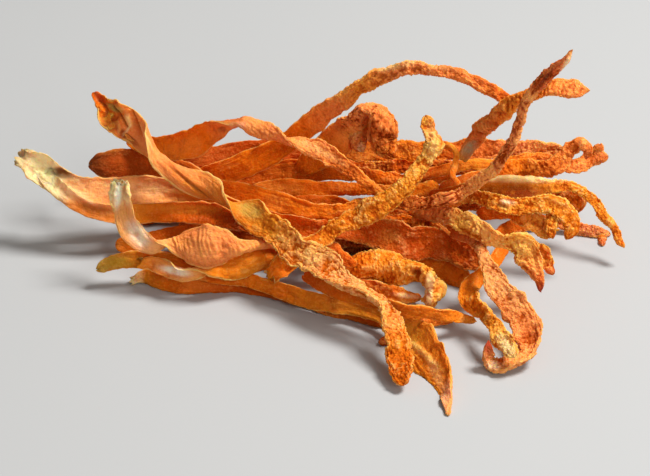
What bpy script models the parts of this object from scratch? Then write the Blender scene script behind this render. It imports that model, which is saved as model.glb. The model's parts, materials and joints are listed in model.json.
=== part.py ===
"""A heap of dried cordyceps: about forty twisted, ribbon-like fungus strands lying across each other.

Run it with  blender --background --python part.py  or from Blender's text editor.
Units are metres, +Z is up, the table is Z = 0, and the origin is under the middle of the heap.
The bases of most strands are at -X and their tips fan out towards +X.

Every strand is one swept ribbon, and some have a branch that is joined on.  A route is a list of
stations, each of which gives
    column, row   where the strand's middle line is seen in the reference view, in that view's pixels
    height        of the middle line above the table, in millimetres
    width         of the ribbon, in millimetres
    roll          of the ribbon about its own line, in degrees: 0 turns its broad face to the viewer
The heights are first guesses: settle() slides the strands along the lines of sight, which leaves the
reference view as it is, until they rest on each other and on the table.
"""

import math

import bmesh
import bpy
import numpy as np

MM = 0.001

# The reference view, which the stations' columns and rows belong to.
VIEW_COLUMNS = 650
VIEW_ROWS = 476
VIEW_TILT = math.radians(30)  # the line of sight slopes down this much
VIEW_DISTANCE = 380 * MM
VIEW_SCALE = 6.0  # pixels a millimetre at the view's target
VIEW_TARGET = (0.596 * MM, -0.827 * MM, 12 * MM)
TO_VIEWER = np.array([0.0, -math.cos(VIEW_TILT), math.sin(VIEW_TILT)])
VIEW_UP = np.array([0.0, math.sin(VIEW_TILT), math.cos(VIEW_TILT)])
EYE = np.array(VIEW_TARGET) + TO_VIEWER * VIEW_DISTANCE

# Sizes of the swept solids.
SIDES = 8  # corners of a strand's section
RING_STEP = 4.6 * MM  # between sections on a straight stretch
BEND_WEIGHT = 2.4 * MM  # length that one radian of bend counts for when sections are spread
LEAST_WIDTH = 0.5 * MM
END_INSET = 0.45 * MM  # of the first and last sections from a strand's pointed ends
END_ROUNDING = 0.8 * MM  # shortest length over which an end is rounded off
TANGENT_STEP = 0.2 * MM  # to either side of a place, for the direction of the line there

# The settling of the heap.
GAP = 0.45 * MM  # clear space kept between strands
TABLE_BITE = 0.3 * MM  # how far a strand's round underside is pressed flat on the table
SETTLE_STEP = 1.2 * MM  # between a strand's settling stations
SETTLE_LANES = np.linspace(-0.92, 0.92, 7)  # across the ribbon, in half widths
LANE_TAPER = 0.75  # how much thinner the ribbon is taken to be at its edges than in its middle
SETTLE_ROUNDS = 260
SINK_ROUNDS = 140  # the first rounds, in which strands also sink onto what lies behind and below them
PUSH_EASE = 0.5  # share of an overlap that one round takes away
MOST_PUSH = 1.5 * MM  # largest overlap that one round looks at
SINK_EASE = 0.12  # share of a strand's clearance that one round takes away
BLUR_STATIONS = 5  # over which a strand's slide is evened out in each round
LEAST_EVENNESS = 0.02  # share of that evening out which is left in the last round
SINK_LIMIT = 10 * MM  # farthest that a strand sinks along the line of sight
TABLE_REACH = 4 * MM  # a strand that is farther than this from the table, along the sight line, stays off it
NEAR_MARGIN = 12 * MM  # strands farther apart than this never meet
CROSSING_BREAK = 3  # stations without a meeting that part one crossing of two strands from the next

# Dried-skin colours.
DEEP = (0.60, 0.17, 0.03)
ORANGE = (0.78, 0.27, 0.05)
GOLD = (0.80, 0.38, 0.08)
CREAM = (0.82, 0.58, 0.28)

# name: (thickness at base and tip in mm, cup depth at base and tip in mm, colour, stations, branches)
STRANDS = {
    "diagonal_strand": ((1.2, 1.6), (1.2, 0.3), GOLD, [
        (94, 93, 27.5, 1.2, 0), (103, 103, 27, 2.4, 10), (118, 118, 26, 5.8, 20),
        (137, 131, 23.5, 6.2, 35), (153, 153, 21, 5.0, 75), (172, 170, 19.5, 4.5, 130),
        (195, 183, 18, 4.7, 175), (213, 190, 17, 4.6, 215), (226, 200, 16, 4.6, 260),
        (248, 212, 14.8, 5.0, 340), (270, 228, 13.4, 4.6, 375), (295, 248, 11.6, 5.0, 360),
        (322, 264, 9.8, 5.0, 350), (348, 283, 8.2, 3.8, 310), (368, 294, 7.4, 2.8, 290),
        (382, 305, 6.4, 2.2, 310), (394, 325, 5.2, 3.6, 340), (400, 345, 3.8, 3.8, 360),
        (402, 368, 2.0, 3.6, 380), (404, 384, 1.2, 2.6, 380)], []),
    "leaf_tip_strand": ((1.5, 1.1), (0.5, 0.8), ORANGE, [
        (98, 269, 1.6, 1.8, 0), (110, 264, 2.0, 2.4, 0), (135, 259, 2.6, 3.2, 20),
        (170, 262, 2.6, 4.0, 30), (210, 274, 2.0, 3.0, 10), (250, 281, 2.0, 2.4, 0),
        (285, 292, 2.2, 2.8, 0), (315, 301, 2.4, 3.0, 0), (345, 305, 2.6, 3.0, 0), (374, 311, 3.0, 3.0, 0),
        (396, 320, 3.6, 4.4, 10), (413, 337, 3.8, 6.4, 10), (428, 356, 3.2, 6.6, 15),
        (440, 376, 2.0, 4.4, 25), (447, 395, 1.3, 2.2, 30), (448, 415, 1.0, 0.8, 0)], []),
    "front_low_strand": ((1.6, 1.2), (0.2, 0.2), ORANGE, [
        (132, 281, 1.2, 0.9, 0), (143, 277, 1.6, 2.4, 0), (160, 281, 1.8, 3.0, 0), (180, 285, 1.8, 3.2, 0),
        (205, 287, 1.6, 2.4, 0), (240, 287, 1.5, 2.0, 0), (275, 294, 1.4, 2.0, 0), (315, 305, 1.3, 2.2, 0),
        (352, 315, 1.3, 2.2, 0), (382, 322, 1.3, 2.2, 0), (410, 322, 1.4, 2.2, 0), (435, 320, 1.5, 2.0, 0),
        (454, 320, 1.6, 1.0, 0)], []),
    "long_low_strand": ((1.2, 1.4), (0.8, 0.2), ORANGE, [
        (304, 275, 3.6, 1.6, 0), (317, 280, 4.0, 3.2, 10), (332, 287, 4.6, 3.6, 20),
        (350, 293, 5.2, 3.0, 20), (376, 302, 5.8, 2.6, 20), (405, 310, 6.0, 2.5, 20),
        (435, 313, 4.8, 2.2, 20), (458, 317, 3.2, 1.8, 0), (475, 321, 1.8, 1.1, 0)], []),
    "pale_cup_strand": ((1.1, 1.6), (1.2, 0.8), GOLD, [
        (141, 263, 4.6, 1.6, 0), (155, 264, 4.8, 2.4, 10), (172, 270, 4.4, 2.8, 30),
        (190, 274, 4.2, 2.6, 60), (203, 272, 4.4, 2.8, 100), (222, 269, 4.6, 4.2, 150),
        (245, 264, 5.0, 4.6, 180), (268, 257, 5.4, 4.0, 190), (290, 252, 5.6, 3.4, 190),
        (315, 255, 5.2, 3.4, 180), (340, 263, 4.6, 3.8, 180), (362, 268, 4.4, 4.8, 180),
        (385, 268, 4.4, 5.2, 190), (405, 271, 4.6, 4.4, 170), (421, 272, 5.6, 3.2, 150),
        (432, 279, 6.0, 2.6, 180), (434, 290, 4.0, 3.2, 200), (428, 303, 1.8, 2.8, 200)], []),
    "wrinkled_leaf_strand": ((1.3, 1.2), (1.3, 0.4), ORANGE, [
        (119, 182, 17.5, 3.0, 0), (121, 193, 15.6, 4.0, 10), (124, 209, 13.2, 3.8, 20),
        (131, 228, 10.4, 4.2, 10), (143, 241, 8.6, 3.8, 10), (157, 246, 8.0, 3.0, 50),
        (168, 244, 8.0, 3.0, 100), (182, 243, 8.2, 5.2, 160), (202, 246, 8.4, 7.0, 180),
        (222, 247, 8.4, 6.0, 190), (238, 248, 8.2, 3.4, 215), (256, 245, 8.2, 2.0, 190),
        (278, 242, 8.4, 2.4, 180), (302, 245, 8.4, 2.8, 180), (325, 249, 8.0, 3.2, 180),
        (343, 258, 7.0, 2.4, 180), (356, 265, 6.2, 1.4, 180)], []),
    "forked_base_strand": ((2.2, 1.4), (2.0, 0.8), CREAM, [
        (20, 156, 19.6, 3.2, 0), (34, 164, 18.2, 4.8, 0), (54, 178, 16.0, 5.2, 0), (78, 190, 13.6, 5.2, 0),
        (105, 193, 12.4, 5.4, 0), (140, 190, 11.8, 5.2, 0), (175, 192, 11.4, 4.6, 10),
        (210, 201, 11.0, 4.2, 20), (245, 214, 10.2, 4.0, 10), (280, 225, 9.6, 3.8, 0),
        (315, 230, 9.2, 3.6, 0), (345, 229, 9.0, 3.6, -10), (375, 234, 8.8, 5.0, 0),
        (402, 240, 8.8, 6.0, 0), (428, 243, 8.4, 5.6, 10), (450, 250, 7.4, 5.0, 10),
        (470, 257, 6.6, 4.6, 0), (486, 266, 6.0, 2.6, 0)],
        [[(44, 172, 16.8, 3.4, 0), (60, 190, 14.6, 3.0, 0), (82, 206, 12.0, 3.0, 0),
          (105, 213, 10.6, 3.2, 0), (138, 213, 9.8, 3.4, 0), (175, 212, 9.4, 3.6, 0),
          (215, 215, 9.4, 3.6, 0), (240, 223, 9.2, 2.8, 0), (262, 233, 8.8, 2.4, 0),
          (280, 239, 8.4, 1.4, 0)]]),
    "tall_pointed_strand": ((2.2, 1.6), (0.4, 0.2), DEEP, [
        (90, 165, 9.5, 3.2, 0), (108, 165, 9.8, 5.4, 0), (140, 163, 10.0, 5.8, 0),
        (175, 171, 10.2, 5.2, 0), (212, 188, 10.6, 4.4, 0), (250, 196, 11.0, 4.4, 0),
        (285, 205, 11.2, 4.2, 0), (315, 212, 11.4, 3.4, 0), (340, 211, 11.8, 2.6, 0),
        (370, 203, 12.2, 2.6, 0), (405, 203, 12.6, 2.8, 0), (435, 203, 13.4, 2.6, 0),
        (460, 193, 15.4, 2.4, 0), (482, 179, 18.4, 2.2, 0), (500, 163, 21.6, 2.0, 0),
        (512, 143, 25.6, 1.9, 0), (519, 125, 29.4, 1.7, 0), (526, 105, 33.2, 1.6, 0),
        (537, 86, 37.0, 1.9, 20), (553, 70, 40.4, 1.9, 50), (566, 57, 43.2, 1.0, 60),
        (572, 50, 44.6, 0.5, 60)], []),
    "loop_over_strand": ((1.2, 1.2), (0.8, 0.3), ORANGE, [
        (128, 141, 12.5, 1.6, 0), (145, 146, 13.0, 3.4, 0), (168, 148, 14.5, 4.6, 0),
        (192, 143, 17.5, 5.2, 0), (212, 131, 21.0, 4.2, 10), (228, 124, 23.6, 2.8, 60),
        (244, 122, 25.0, 3.0, 130), (262, 130, 25.0, 3.4, 180), (286, 138, 24.4, 3.2, 270),
        (312, 147, 23.4, 3.4, 340), (336, 159, 22.0, 3.0, 360), (356, 173, 20.6, 2.2, 360),
        (373, 188, 19.2, 1.7, 360), (387, 198, 18.4, 1.0, 360)], []),
    "tall_arch_strand": ((1.5, 1.8), (0.5, 0.1), ORANGE, [
        (178, 186, 8.6, 2.8, 0), (205, 178, 10.1, 4.0, 0), (235, 168, 12.8, 4.4, 0),
        (265, 156, 15.8, 4.2, 0), (292, 139, 19.4, 3.8, 10), (315, 120, 23.4, 3.8, 10),
        (338, 103, 27.2, 3.3, 20), (362, 88, 30.8, 2.8, 20), (385, 74, 33.8, 2.5, 10),
        (408, 68, 35.4, 2.4, 0), (435, 70, 35.6, 2.1, 0), (462, 76, 35.2, 2.0, 0), (485, 87, 33.6, 2.2, 0),
        (503, 96, 31.8, 1.9, 0), (514, 101, 30.6, 1.3, 0)], []),
    "ribbed_strand": ((1.8, 1.8), (0.2, 0.2), ORANGE, [
        (463, 159, 15.2, 1.5, 0), (466, 153, 17.0, 2.4, 0), (473, 142, 19.8, 2.8, 0),
        (485, 127, 24.4, 3.0, 0), (500, 113, 28.9, 2.9, 0), (514, 102, 32.0, 2.6, 0),
        (530, 95, 33.8, 2.4, 0), (546, 90, 34.6, 2.4, 0), (562, 88, 34.8, 2.7, 0), (575, 90, 34.4, 3.0, 0),
        (583, 90, 34.2, 1.6, 0), (589, 90, 34.2, 0.8, 0)], []),
    "rear_long_strand": ((1.6, 1.4), (0.4, 0.4), ORANGE, [
        (300, 160, 8.8, 3.0, 0), (335, 152, 10.0, 3.6, 0), (370, 151, 10.6, 3.8, 0),
        (405, 151, 11.0, 3.8, 0), (440, 151, 11.4, 3.6, 0), (475, 149, 11.8, 3.4, 0),
        (505, 148, 12.2, 3.2, 10), (530, 148, 12.4, 3.0, 0), (548, 149, 12.6, 2.4, 20),
        (566, 150, 12.6, 1.0, 0)], []),
    "folded_top_strand": ((1.6, 2.2), (0.6, 0.3), DEEP, [
        (300, 172, 11.0, 3.0, 0), (320, 155, 14.5, 4.8, 0), (339, 139, 18.6, 5.6, 10),
        (355, 123, 22.2, 5.2, 30), (365, 111, 25.0, 4.4, 70), (379, 112, 25.6, 4.4, 120),
        (383, 125, 24.0, 5.0, 170), (381, 138, 21.6, 4.8, 180), (385, 149, 19.8, 3.6, 190),
        (393, 158, 18.6, 1.8, 180)],
        [[(362, 114, 24.0, 2.2, 0), (360, 127, 21.6, 3.0, 0), (359, 140, 19.6, 3.0, 0),
          (362, 152, 18.2, 1.4, 0)]]),
    "thin_hook_strand": ((1.1, 0.9), (0.0, 0.0), GOLD, [
        (424, 158, 16.5, 1.0, 0), (436, 149, 18.5, 1.1, 0), (448, 146, 19.6, 1.1, 0),
        (456, 153, 19.4, 1.2, 0), (455, 165, 18.6, 1.2, 0), (453, 176, 18.0, 1.1, 0),
        (459, 184, 17.6, 1.0, 0)], []),
    "saddle_strand": ((1.4, 1.6), (0.8, 0.2), ORANGE, [
        (420, 175, 13.0, 2.0, 0), (445, 170, 14.0, 2.2, 0), (470, 164, 15.0, 2.2, 0),
        (490, 165, 15.0, 2.4, 0), (515, 162, 14.6, 2.8, 0), (540, 161, 14.2, 3.2, 0),
        (560, 166, 13.8, 2.9, 0), (580, 165, 13.8, 2.8, 0), (596, 158, 14.2, 2.6, 0),
        (608, 157, 14.4, 1.6, 0)],
        [[(594, 159, 14.2, 1.8, 0), (598, 152, 15.4, 1.9, 0), (600, 145, 16.8, 1.3, 0)]]),
    "right_curl_strand": ((1.6, 1.4), (0.3, 0.1), ORANGE, [
        (440, 190, 11.5, 2.0, 0), (470, 181, 12.6, 2.4, 0), (500, 173, 13.8, 2.8, 0),
        (528, 169, 15.0, 2.8, 0), (550, 168, 16.0, 3.0, 10), (562, 158, 17.6, 2.8, 10),
        (571, 148, 19.4, 2.4, 0), (581, 143, 20.4, 2.0, 0), (588, 149, 19.4, 1.9, 0),
        (587, 158, 17.8, 1.2, 0)], []),
    "drooping_strand": ((1.2, 1.5), (1.3, 0.2), GOLD, [
        (430, 196, 10.8, 2.2, 0), (455, 194, 12.6, 2.8, 0), (480, 191, 14.4, 3.6, 0),
        (505, 188, 15.6, 4.0, -10), (530, 188, 15.8, 3.8, 0), (550, 187, 15.4, 2.6, 10),
        (568, 187, 14.8, 1.8, 0), (583, 192, 13.6, 1.7, 0), (594, 203, 12.0, 1.9, 0),
        (602, 215, 10.4, 1.7, 0), (612, 225, 9.0, 1.6, 0), (618, 237, 7.4, 1.6, 0),
        (623, 247, 6.2, 1.2, 0)], []),
    "ring_tip_strand": ((1.4, 1.3), (0.2, 0.1), DEEP, [
        (480, 205, 9.6, 2.0, 0), (510, 203, 11.0, 2.4, 0), (535, 202, 13.0, 2.2, 0),
        (550, 197, 14.6, 2.6, 10), (563, 192, 15.4, 3.0, 10), (573, 195, 14.8, 3.2, 10),
        (576, 203, 13.4, 3.0, 10), (569, 209, 12.2, 2.4, 10), (560, 209, 11.6, 1.3, 0)], []),
    "hook_tip_strand": ((1.6, 1.5), (0.6, 0.6), GOLD, [
        (445, 206, 11.6, 2.0, 0), (468, 197, 13.8, 2.0, 0), (486, 200, 14.6, 2.2, 0),
        (505, 206, 14.6, 2.6, 0), (525, 207, 14.6, 3.2, 0), (543, 206, 14.6, 3.2, 0),
        (557, 209, 14.0, 3.0, 0), (567, 217, 12.8, 2.8, 0), (571, 228, 11.2, 2.5, 0),
        (567, 239, 9.6, 1.4, 0)],
        [[(550, 209, 14.2, 2.0, 0), (553, 219, 12.8, 2.3, 0), (549, 229, 11.2, 2.2, 0),
          (552, 238, 9.8, 1.1, 0)]]),
    "hanging_leaf_strand": ((1.2, 1.0), (0.5, 0.4), ORANGE, [
        (478, 214, 11.0, 2.2, 0), (498, 211, 12.2, 2.8, 0), (514, 211, 13.0, 3.2, 0),
        (529, 217, 12.6, 3.6, 0), (540, 227, 11.0, 3.0, 0), (548, 238, 9.0, 1.4, 0)], []),
    "rear_table_strand": ((1.3, 1.3), (0.3, 0.3), ORANGE, [
        (470, 247, 1.6, 2.0, 0), (492, 238, 2.0, 1.8, 0), (512, 226, 2.6, 2.6, 0), (532, 220, 3.0, 2.4, 0),
        (556, 222, 2.8, 2.2, 0), (578, 228, 2.2, 2.4, 0), (597, 232, 1.6, 2.0, 0),
        (610, 234, 1.2, 1.1, 0)],
        [[(592, 231, 1.7, 1.8, 0), (600, 237, 1.4, 1.5, 0), (602, 245, 1.0, 1.1, 0)]]),
    "forked_tip_strand": ((1.6, 1.8), (0.3, 0.5), GOLD, [
        (415, 213, 10.6, 2.2, 0), (438, 214, 12.0, 2.4, 0), (456, 219, 13.2, 3.0, 0),
        (474, 228, 13.6, 3.6, 0), (490, 236, 13.2, 3.0, 20), (503, 241, 12.6, 2.2, 30),
        (514, 243, 12.4, 3.2, 20), (525, 250, 11.4, 5.0, 0), (532, 263, 9.4, 3.6, 0),
        (537, 277, 7.2, 2.0, 0), (541, 291, 5.0, 0.9, 0)],
        [[(524, 245, 11.8, 2.8, 0), (541, 251, 10.6, 3.2, 0), (548, 262, 8.8, 2.3, 0),
          (553, 274, 7.4, 1.1, 0)]]),
    "front_curl_strand": ((1.6, 1.3), (0.4, 0.9), ORANGE, [
        (452, 232, 9.8, 1.8, 0), (470, 240, 11.0, 1.8, 0), (482, 251, 11.6, 1.8, 0),
        (488, 265, 11.2, 2.0, 0), (494, 279, 10.0, 3.6, 0), (504, 294, 8.4, 4.4, 0),
        (515, 310, 6.6, 4.8, 0), (525, 326, 5.0, 4.8, 0), (530, 341, 3.8, 4.4, 20),
        (526, 354, 2.8, 3.4, 40), (515, 362, 2.2, 2.8, 50), (502, 366, 1.9, 2.8, 50),
        (490, 362, 2.2, 2.4, 40), (487, 352, 3.8, 1.8, 20), (489, 341, 5.4, 0.6, 0)], []),
    "pale_tip_strand": ((1.2, 1.1), (0.4, 0.3), GOLD, [
        (505, 246, 8.6, 2.4, 0), (494, 262, 7.4, 2.4, 0), (480, 277, 6.2, 2.6, 0),
        (470, 292, 5.6, 3.4, 20), (474, 306, 5.4, 3.4, 30), (485, 313, 5.4, 2.6, 30),
        (493, 322, 5.4, 2.2, 20), (498, 334, 5.0, 2.8, 0), (506, 346, 4.6, 3.0, 0),
        (515, 357, 4.2, 2.2, 0)], []),
    "saddle_ribbon": ((1.2, 1.1), (0.6, 0.6), ORANGE, [
        (385, 246, 5.6, 2.6, 0), (408, 254, 5.6, 3.0, 0), (430, 263, 5.4, 3.4, 0), (450, 272, 5.0, 4.4, 0),
        (465, 281, 4.4, 3.6, 20), (474, 292, 3.4, 1.8, 30)], []),
    "red_strand": ((1.3, 1.3), (0.4, 0.4), DEEP, [
        (240, 205, 8.4, 1.8, 0), (265, 212, 9.0, 1.8, 0), (290, 219, 9.2, 1.8, 0), (320, 222, 9.4, 1.8, 0),
        (350, 221, 9.4, 2.4, 0), (378, 222, 9.4, 3.0, 0), (405, 224, 9.6, 3.4, 0), (430, 228, 9.4, 3.2, 0),
        (448, 238, 8.8, 2.6, 0), (462, 250, 8.0, 1.4, 0)], []),
    "upright_strand": ((1.2, 2.0), (0.8, 0.1), GOLD, [
        (270, 277, 5.0, 2.2, 0), (278, 269, 6.2, 3.6, 10), (289, 260, 7.4, 3.9, 25),
        (303, 249, 9.0, 3.0, 0), (325, 234, 11.4, 2.8, 0), (348, 221, 13.8, 3.2, 0),
        (372, 210, 16.2, 3.6, 0), (392, 198, 18.4, 3.2, 0), (408, 184, 20.8, 3.2, 0),
        (419, 169, 23.2, 2.8, 0), (428, 156, 25.2, 2.4, 0), (433, 144, 27.0, 3.0, 0),
        (431, 131, 29.0, 2.2, 0), (427, 121, 30.2, 2.6, 0), (425, 116, 30.9, 1.4, 0)], []),
    "rear_left_strand": ((1.5, 1.3), (0.4, 0.4), DEEP, [
        (165, 162, 9.0, 2.8, 0), (195, 158, 10.6, 3.6, 0), (225, 154, 11.4, 3.8, 0),
        (252, 150, 12.0, 3.4, 0), (280, 151, 12.0, 3.4, 0), (310, 158, 11.4, 3.0, 0),
        (335, 165, 11.0, 3.0, 0), (365, 168, 11.0, 2.8, 0), (395, 167, 11.4, 2.6, 0),
        (425, 166, 11.4, 2.4, 0), (455, 168, 11.0, 2.2, 0), (480, 171, 10.6, 1.4, 0)], []),
    "mid_rear_strand_a": ((1.4, 1.3), (0.5, 0.3), ORANGE, [
        (225, 189, 7.0, 2.6, 0), (255, 177, 9.0, 3.6, 0), (285, 171, 10.4, 4.2, 0),
        (318, 171, 11.6, 3.9, 0), (345, 173, 11.8, 2.6, 0), (372, 178, 12.0, 2.8, 0),
        (400, 180, 12.2, 2.8, 0), (430, 180, 12.2, 2.4, 0), (455, 176, 12.4, 1.4, 0)], []),
    "mid_rear_strand_b": ((1.4, 1.3), (0.4, 0.3), ORANGE, [
        (235, 200, 6.0, 2.4, 0), (262, 192, 7.6, 3.2, 0), (290, 188, 8.8, 3.6, 0), (320, 189, 9.6, 3.0, 0),
        (350, 189, 10.2, 2.2, 0), (380, 191, 10.6, 2.2, 0), (410, 191, 11.0, 2.6, 0),
        (440, 187, 11.0, 2.0, 0)], []),
    "mid_rear_strand_c": ((1.4, 1.2), (0.5, 0.4), DEEP, [
        (270, 210, 6.0, 2.6, 0), (300, 204, 7.0, 3.0, 0), (328, 202, 7.6, 2.6, 0), (355, 209, 8.0, 2.4, 0),
        (385, 212, 8.2, 2.4, 0), (415, 214, 8.4, 2.2, 0), (440, 222, 8.0, 1.6, 0)], []),
    "lobe_base_strand": ((1.6, 1.3), (0.5, 0.4), DEEP, [
        (117, 243, 4.2, 2.2, 0), (130, 246, 4.4, 3.2, 0), (150, 240, 5.0, 2.8, 0), (172, 233, 5.4, 2.4, 0),
        (195, 229, 5.6, 2.4, 0), (225, 230, 5.6, 2.6, 0), (260, 236, 5.4, 2.6, 0), (295, 238, 5.4, 2.6, 0),
        (330, 240, 5.2, 2.6, 0), (362, 240, 5.2, 2.4, 0), (395, 246, 4.6, 2.2, 0),
        (420, 250, 4.2, 1.3, 0)], []),
    "under_ribbon_strand": ((1.2, 1.1), (0.8, 0.6), GOLD, [
        (330, 280, 2.0, 2.2, 0), (352, 286, 2.0, 2.8, 0), (376, 290, 2.0, 3.2, 0), (400, 295, 1.8, 2.6, 0),
        (420, 298, 1.5, 1.6, 0)], []),
    "tucked_tip_strand": ((1.3, 1.2), (0.2, 0.2), DEEP, [
        (424, 331, 1.0, 1.2, 0), (410, 334, 1.1, 1.8, 0), (395, 339, 1.2, 2.0, 0),
        (380, 342, 1.2, 1.4, 0)], []),
    "rear_floor_strand_a": ((1.6, 1.4), (0.4, 0.3), DEEP, [
        (140, 220, 1.4, 2.2, 60), (190, 214, 1.5, 2.8, 40), (250, 212, 1.5, 3.0, 60),
        (310, 210, 1.5, 2.8, 90), (370, 213, 1.5, 2.6, 60), (420, 217, 1.5, 2.2, 40),
        (450, 214, 1.4, 1.4, 40)], []),
    "rear_floor_strand_b": ((1.6, 1.4), (0.4, 0.3), DEEP, [
        (170, 236, 1.5, 2.0, 60), (230, 232, 1.6, 2.8, 60), (300, 230, 1.6, 3.0, 60),
        (350, 229, 1.6, 2.8, 40), (400, 234, 1.5, 2.4, 60), (432, 240, 1.4, 1.4, 60)], []),
    "rear_floor_strand_c": ((1.5, 1.4), (0.4, 0.3), DEEP, [
        (190, 257, 1.4, 1.8, 60), (240, 254, 1.6, 2.6, 60), (300, 251, 1.6, 2.8, 50),
        (345, 248, 1.5, 2.8, 40), (385, 250, 1.4, 2.2, 40), (410, 254, 1.2, 1.2, 40)], []),
    "rear_mid_strand_a": ((1.5, 1.3), (0.5, 0.3), DEEP, [
        (150, 207, 5.0, 2.2, 30), (200, 203, 5.4, 2.8, 50), (260, 206, 5.2, 3.0, 60),
        (310, 211, 5.0, 2.8, 40), (355, 214, 5.0, 2.6, 60), (400, 211, 4.8, 2.6, 40),
        (440, 208, 4.2, 2.8, 30), (480, 207, 3.8, 1.4, 30)], []),
    "rear_mid_strand_b": ((1.5, 1.3), (0.4, 0.3), ORANGE, [
        (180, 223, 4.8, 2.2, 60), (240, 223, 5.0, 2.8, 60), (300, 225, 5.0, 3.0, 60),
        (350, 227, 5.0, 2.6, 60), (400, 227, 4.8, 2.6, 40), (438, 226, 4.2, 2.8, 30),
        (462, 228, 3.8, 1.4, 30)], []),
    "rear_right_strand": ((1.5, 1.3), (0.4, 0.3), ORANGE, [
        (400, 200, 1.6, 2.0, 60), (440, 198, 2.2, 2.6, 60), (480, 196, 2.6, 2.6, 60),
        (515, 196, 2.0, 2.2, 60), (545, 199, 1.4, 1.2, 60)], []),
}


def clear_scene():
    for old in list(bpy.data.objects):
        bpy.data.objects.remove(old, do_unlink=True)


def sighted(columns, rows, heights):
    """Points at the given heights, in metres, on the sight lines through the view's pixels."""
    reach = VIEW_DISTANCE / MM * VIEW_SCALE  # the picture's distance from the eye, in pixels
    across = columns - VIEW_COLUMNS / 2
    up = VIEW_ROWS / 2 - rows
    ray = np.outer(across, [1.0, 0.0, 0.0]) + np.outer(up, VIEW_UP) - reach * TO_VIEWER
    travel = (heights - EYE[2]) / ray[:, 2]
    return EYE + ray * travel[:, None]


def sight(points):
    """Unit directions from the points to the viewer's eye."""
    ways = EYE - points
    return ways / np.linalg.norm(ways, axis=-1)[..., None]


def through(knots, values, places):
    """Cubic Hermite curve through values at knots, with slopes from the neighbouring knots."""
    slopes = np.gradient(values, knots, axis=0)
    i = np.clip(np.searchsorted(knots, places, side="right") - 1, 0, len(knots) - 2)
    step = knots[i + 1] - knots[i]
    f = (places - knots[i]) / step
    shape = (slice(None),) + (None,) * (values.ndim - 1)
    f, step = f[shape], step[shape]
    rise, fall = f * f * (3 - 2 * f), f * (1 - f)
    return (values[i] * (1 - rise) + values[i + 1] * rise
            + step * fall * ((1 - f) * slopes[i] - f * slopes[i + 1]))


class Ribbon:
    """One swept ribbon: its middle line, its sizes along that line, and how far it was slid to the viewer."""

    def __init__(self, node, stations, thickness, cup, trunk=None):
        table = np.array(stations, float)
        line = sighted(table[:, 0], table[:, 1], table[:, 2] * MM)
        self.node = node
        self.trunk = trunk
        if trunk:  # a branch starts on its trunk's middle line
            along = np.linspace(0, trunk.length, 200)
            trunk_line = through(trunk.knots, trunk.line, along)
            nearest = np.linalg.norm(trunk_line - line[0], axis=1).argmin()
            line[0] = trunk_line[nearest]
            self.root = along[nearest]
        chords = np.linalg.norm(np.diff(line, axis=0), axis=1)
        self.knots = np.concatenate([[0.0], np.cumsum(chords)])
        self.line = line
        self.widths = table[:, 3] * MM
        self.rolls = np.radians(table[:, 4])
        self.thickness = np.array(thickness) * MM
        self.cup = np.array(cup) * MM
        self.length = self.knots[-1]
        self.slide_at = np.linspace(0, self.length, round(self.length / SETTLE_STEP) + 1)
        self.slide = np.zeros(len(self.slide_at))

    def centres(self, places):
        """Middle line at the given lengths from the base, with its slide along the line of sight."""
        line = through(self.knots, self.line, places)
        return line + np.interp(places, self.slide_at, self.slide)[:, None] * sight(line)

    def frames(self, places):
        """Across and face directions of the ribbon: at roll 0 the face looks at the viewer."""
        tangent = (self.centres(np.minimum(places + TANGENT_STEP, self.length))
                   - self.centres(np.maximum(places - TANGENT_STEP, 0)))
        tangent /= np.linalg.norm(tangent, axis=1)[:, None]
        face = TO_VIEWER - (tangent @ TO_VIEWER)[:, None] * tangent
        face /= np.linalg.norm(face, axis=1)[:, None]
        across = np.cross(tangent, face)
        roll = through(self.knots, self.rolls, places)[:, None]
        return (np.cos(roll) * across - np.sin(roll) * face,
                np.cos(roll) * face + np.sin(roll) * across)

    def sizes(self, places):
        """Half width, half thickness and cup depth, rounded off to nothing at both ends."""
        half_width = np.maximum(through(self.knots, self.widths, places), LEAST_WIDTH) / 2
        share = places / self.length
        half_thick = np.minimum(self.thickness[0] + (self.thickness[1] - self.thickness[0]) * share,
                                2 * half_width) / 2
        cup = self.cup[0] + (self.cup[1] - self.cup[0]) * share
        cup = cup * np.minimum(1, half_width / (2 * MM))
        from_end = np.minimum(places, self.length - places)
        end = np.sqrt(1 - (1 - np.clip(from_end / np.maximum(half_width, END_ROUNDING), 0, 1)) ** 2)
        return half_width * end, half_thick * end, cup * end

    def surface(self, places, angles):
        """Points of the ribbon's skin.  Its section is a flat ellipse whose edges are raised to make a cup."""
        half_width, half_thick, cup = (size[:, None, None] for size in self.sizes(places))
        across, face = (direction[:, None, :] for direction in self.frames(places))
        cos, sin = (wave(angles)[None, :, None] for wave in (np.cos, np.sin))
        return (self.centres(places)[:, None, :] + half_width * cos * across
                + (half_thick * sin + cup * (cos ** 2 - 0.5)) * face)


def lane_balls(ribbon):
    """Balls that fill the ribbon, a row of lanes at each settling station, before any slide."""
    half_width, half_thick, cup = ribbon.sizes(np.clip(ribbon.slide_at, END_INSET, ribbon.length - END_INSET))
    across, face = ribbon.frames(ribbon.slide_at)
    radius = half_thick[:, None] * np.sqrt(1 - SETTLE_LANES ** 2 * LANE_TAPER)
    reach = np.maximum(half_width[:, None] - radius / 2, 0) * SETTLE_LANES
    rise = cup[:, None] * (SETTLE_LANES ** 2 - 0.5)
    balls = (ribbon.centres(ribbon.slide_at)[:, None] + reach[..., None] * across[:, None]
             + rise[..., None] * face[:, None])
    return balls, radius


def blurred(values, width):
    """Running mean of a row of values, with its ends held."""
    padded = np.pad(values, width // 2, mode="edge")
    return np.convolve(padded, np.full(width, 1 / width), mode="valid")


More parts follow.
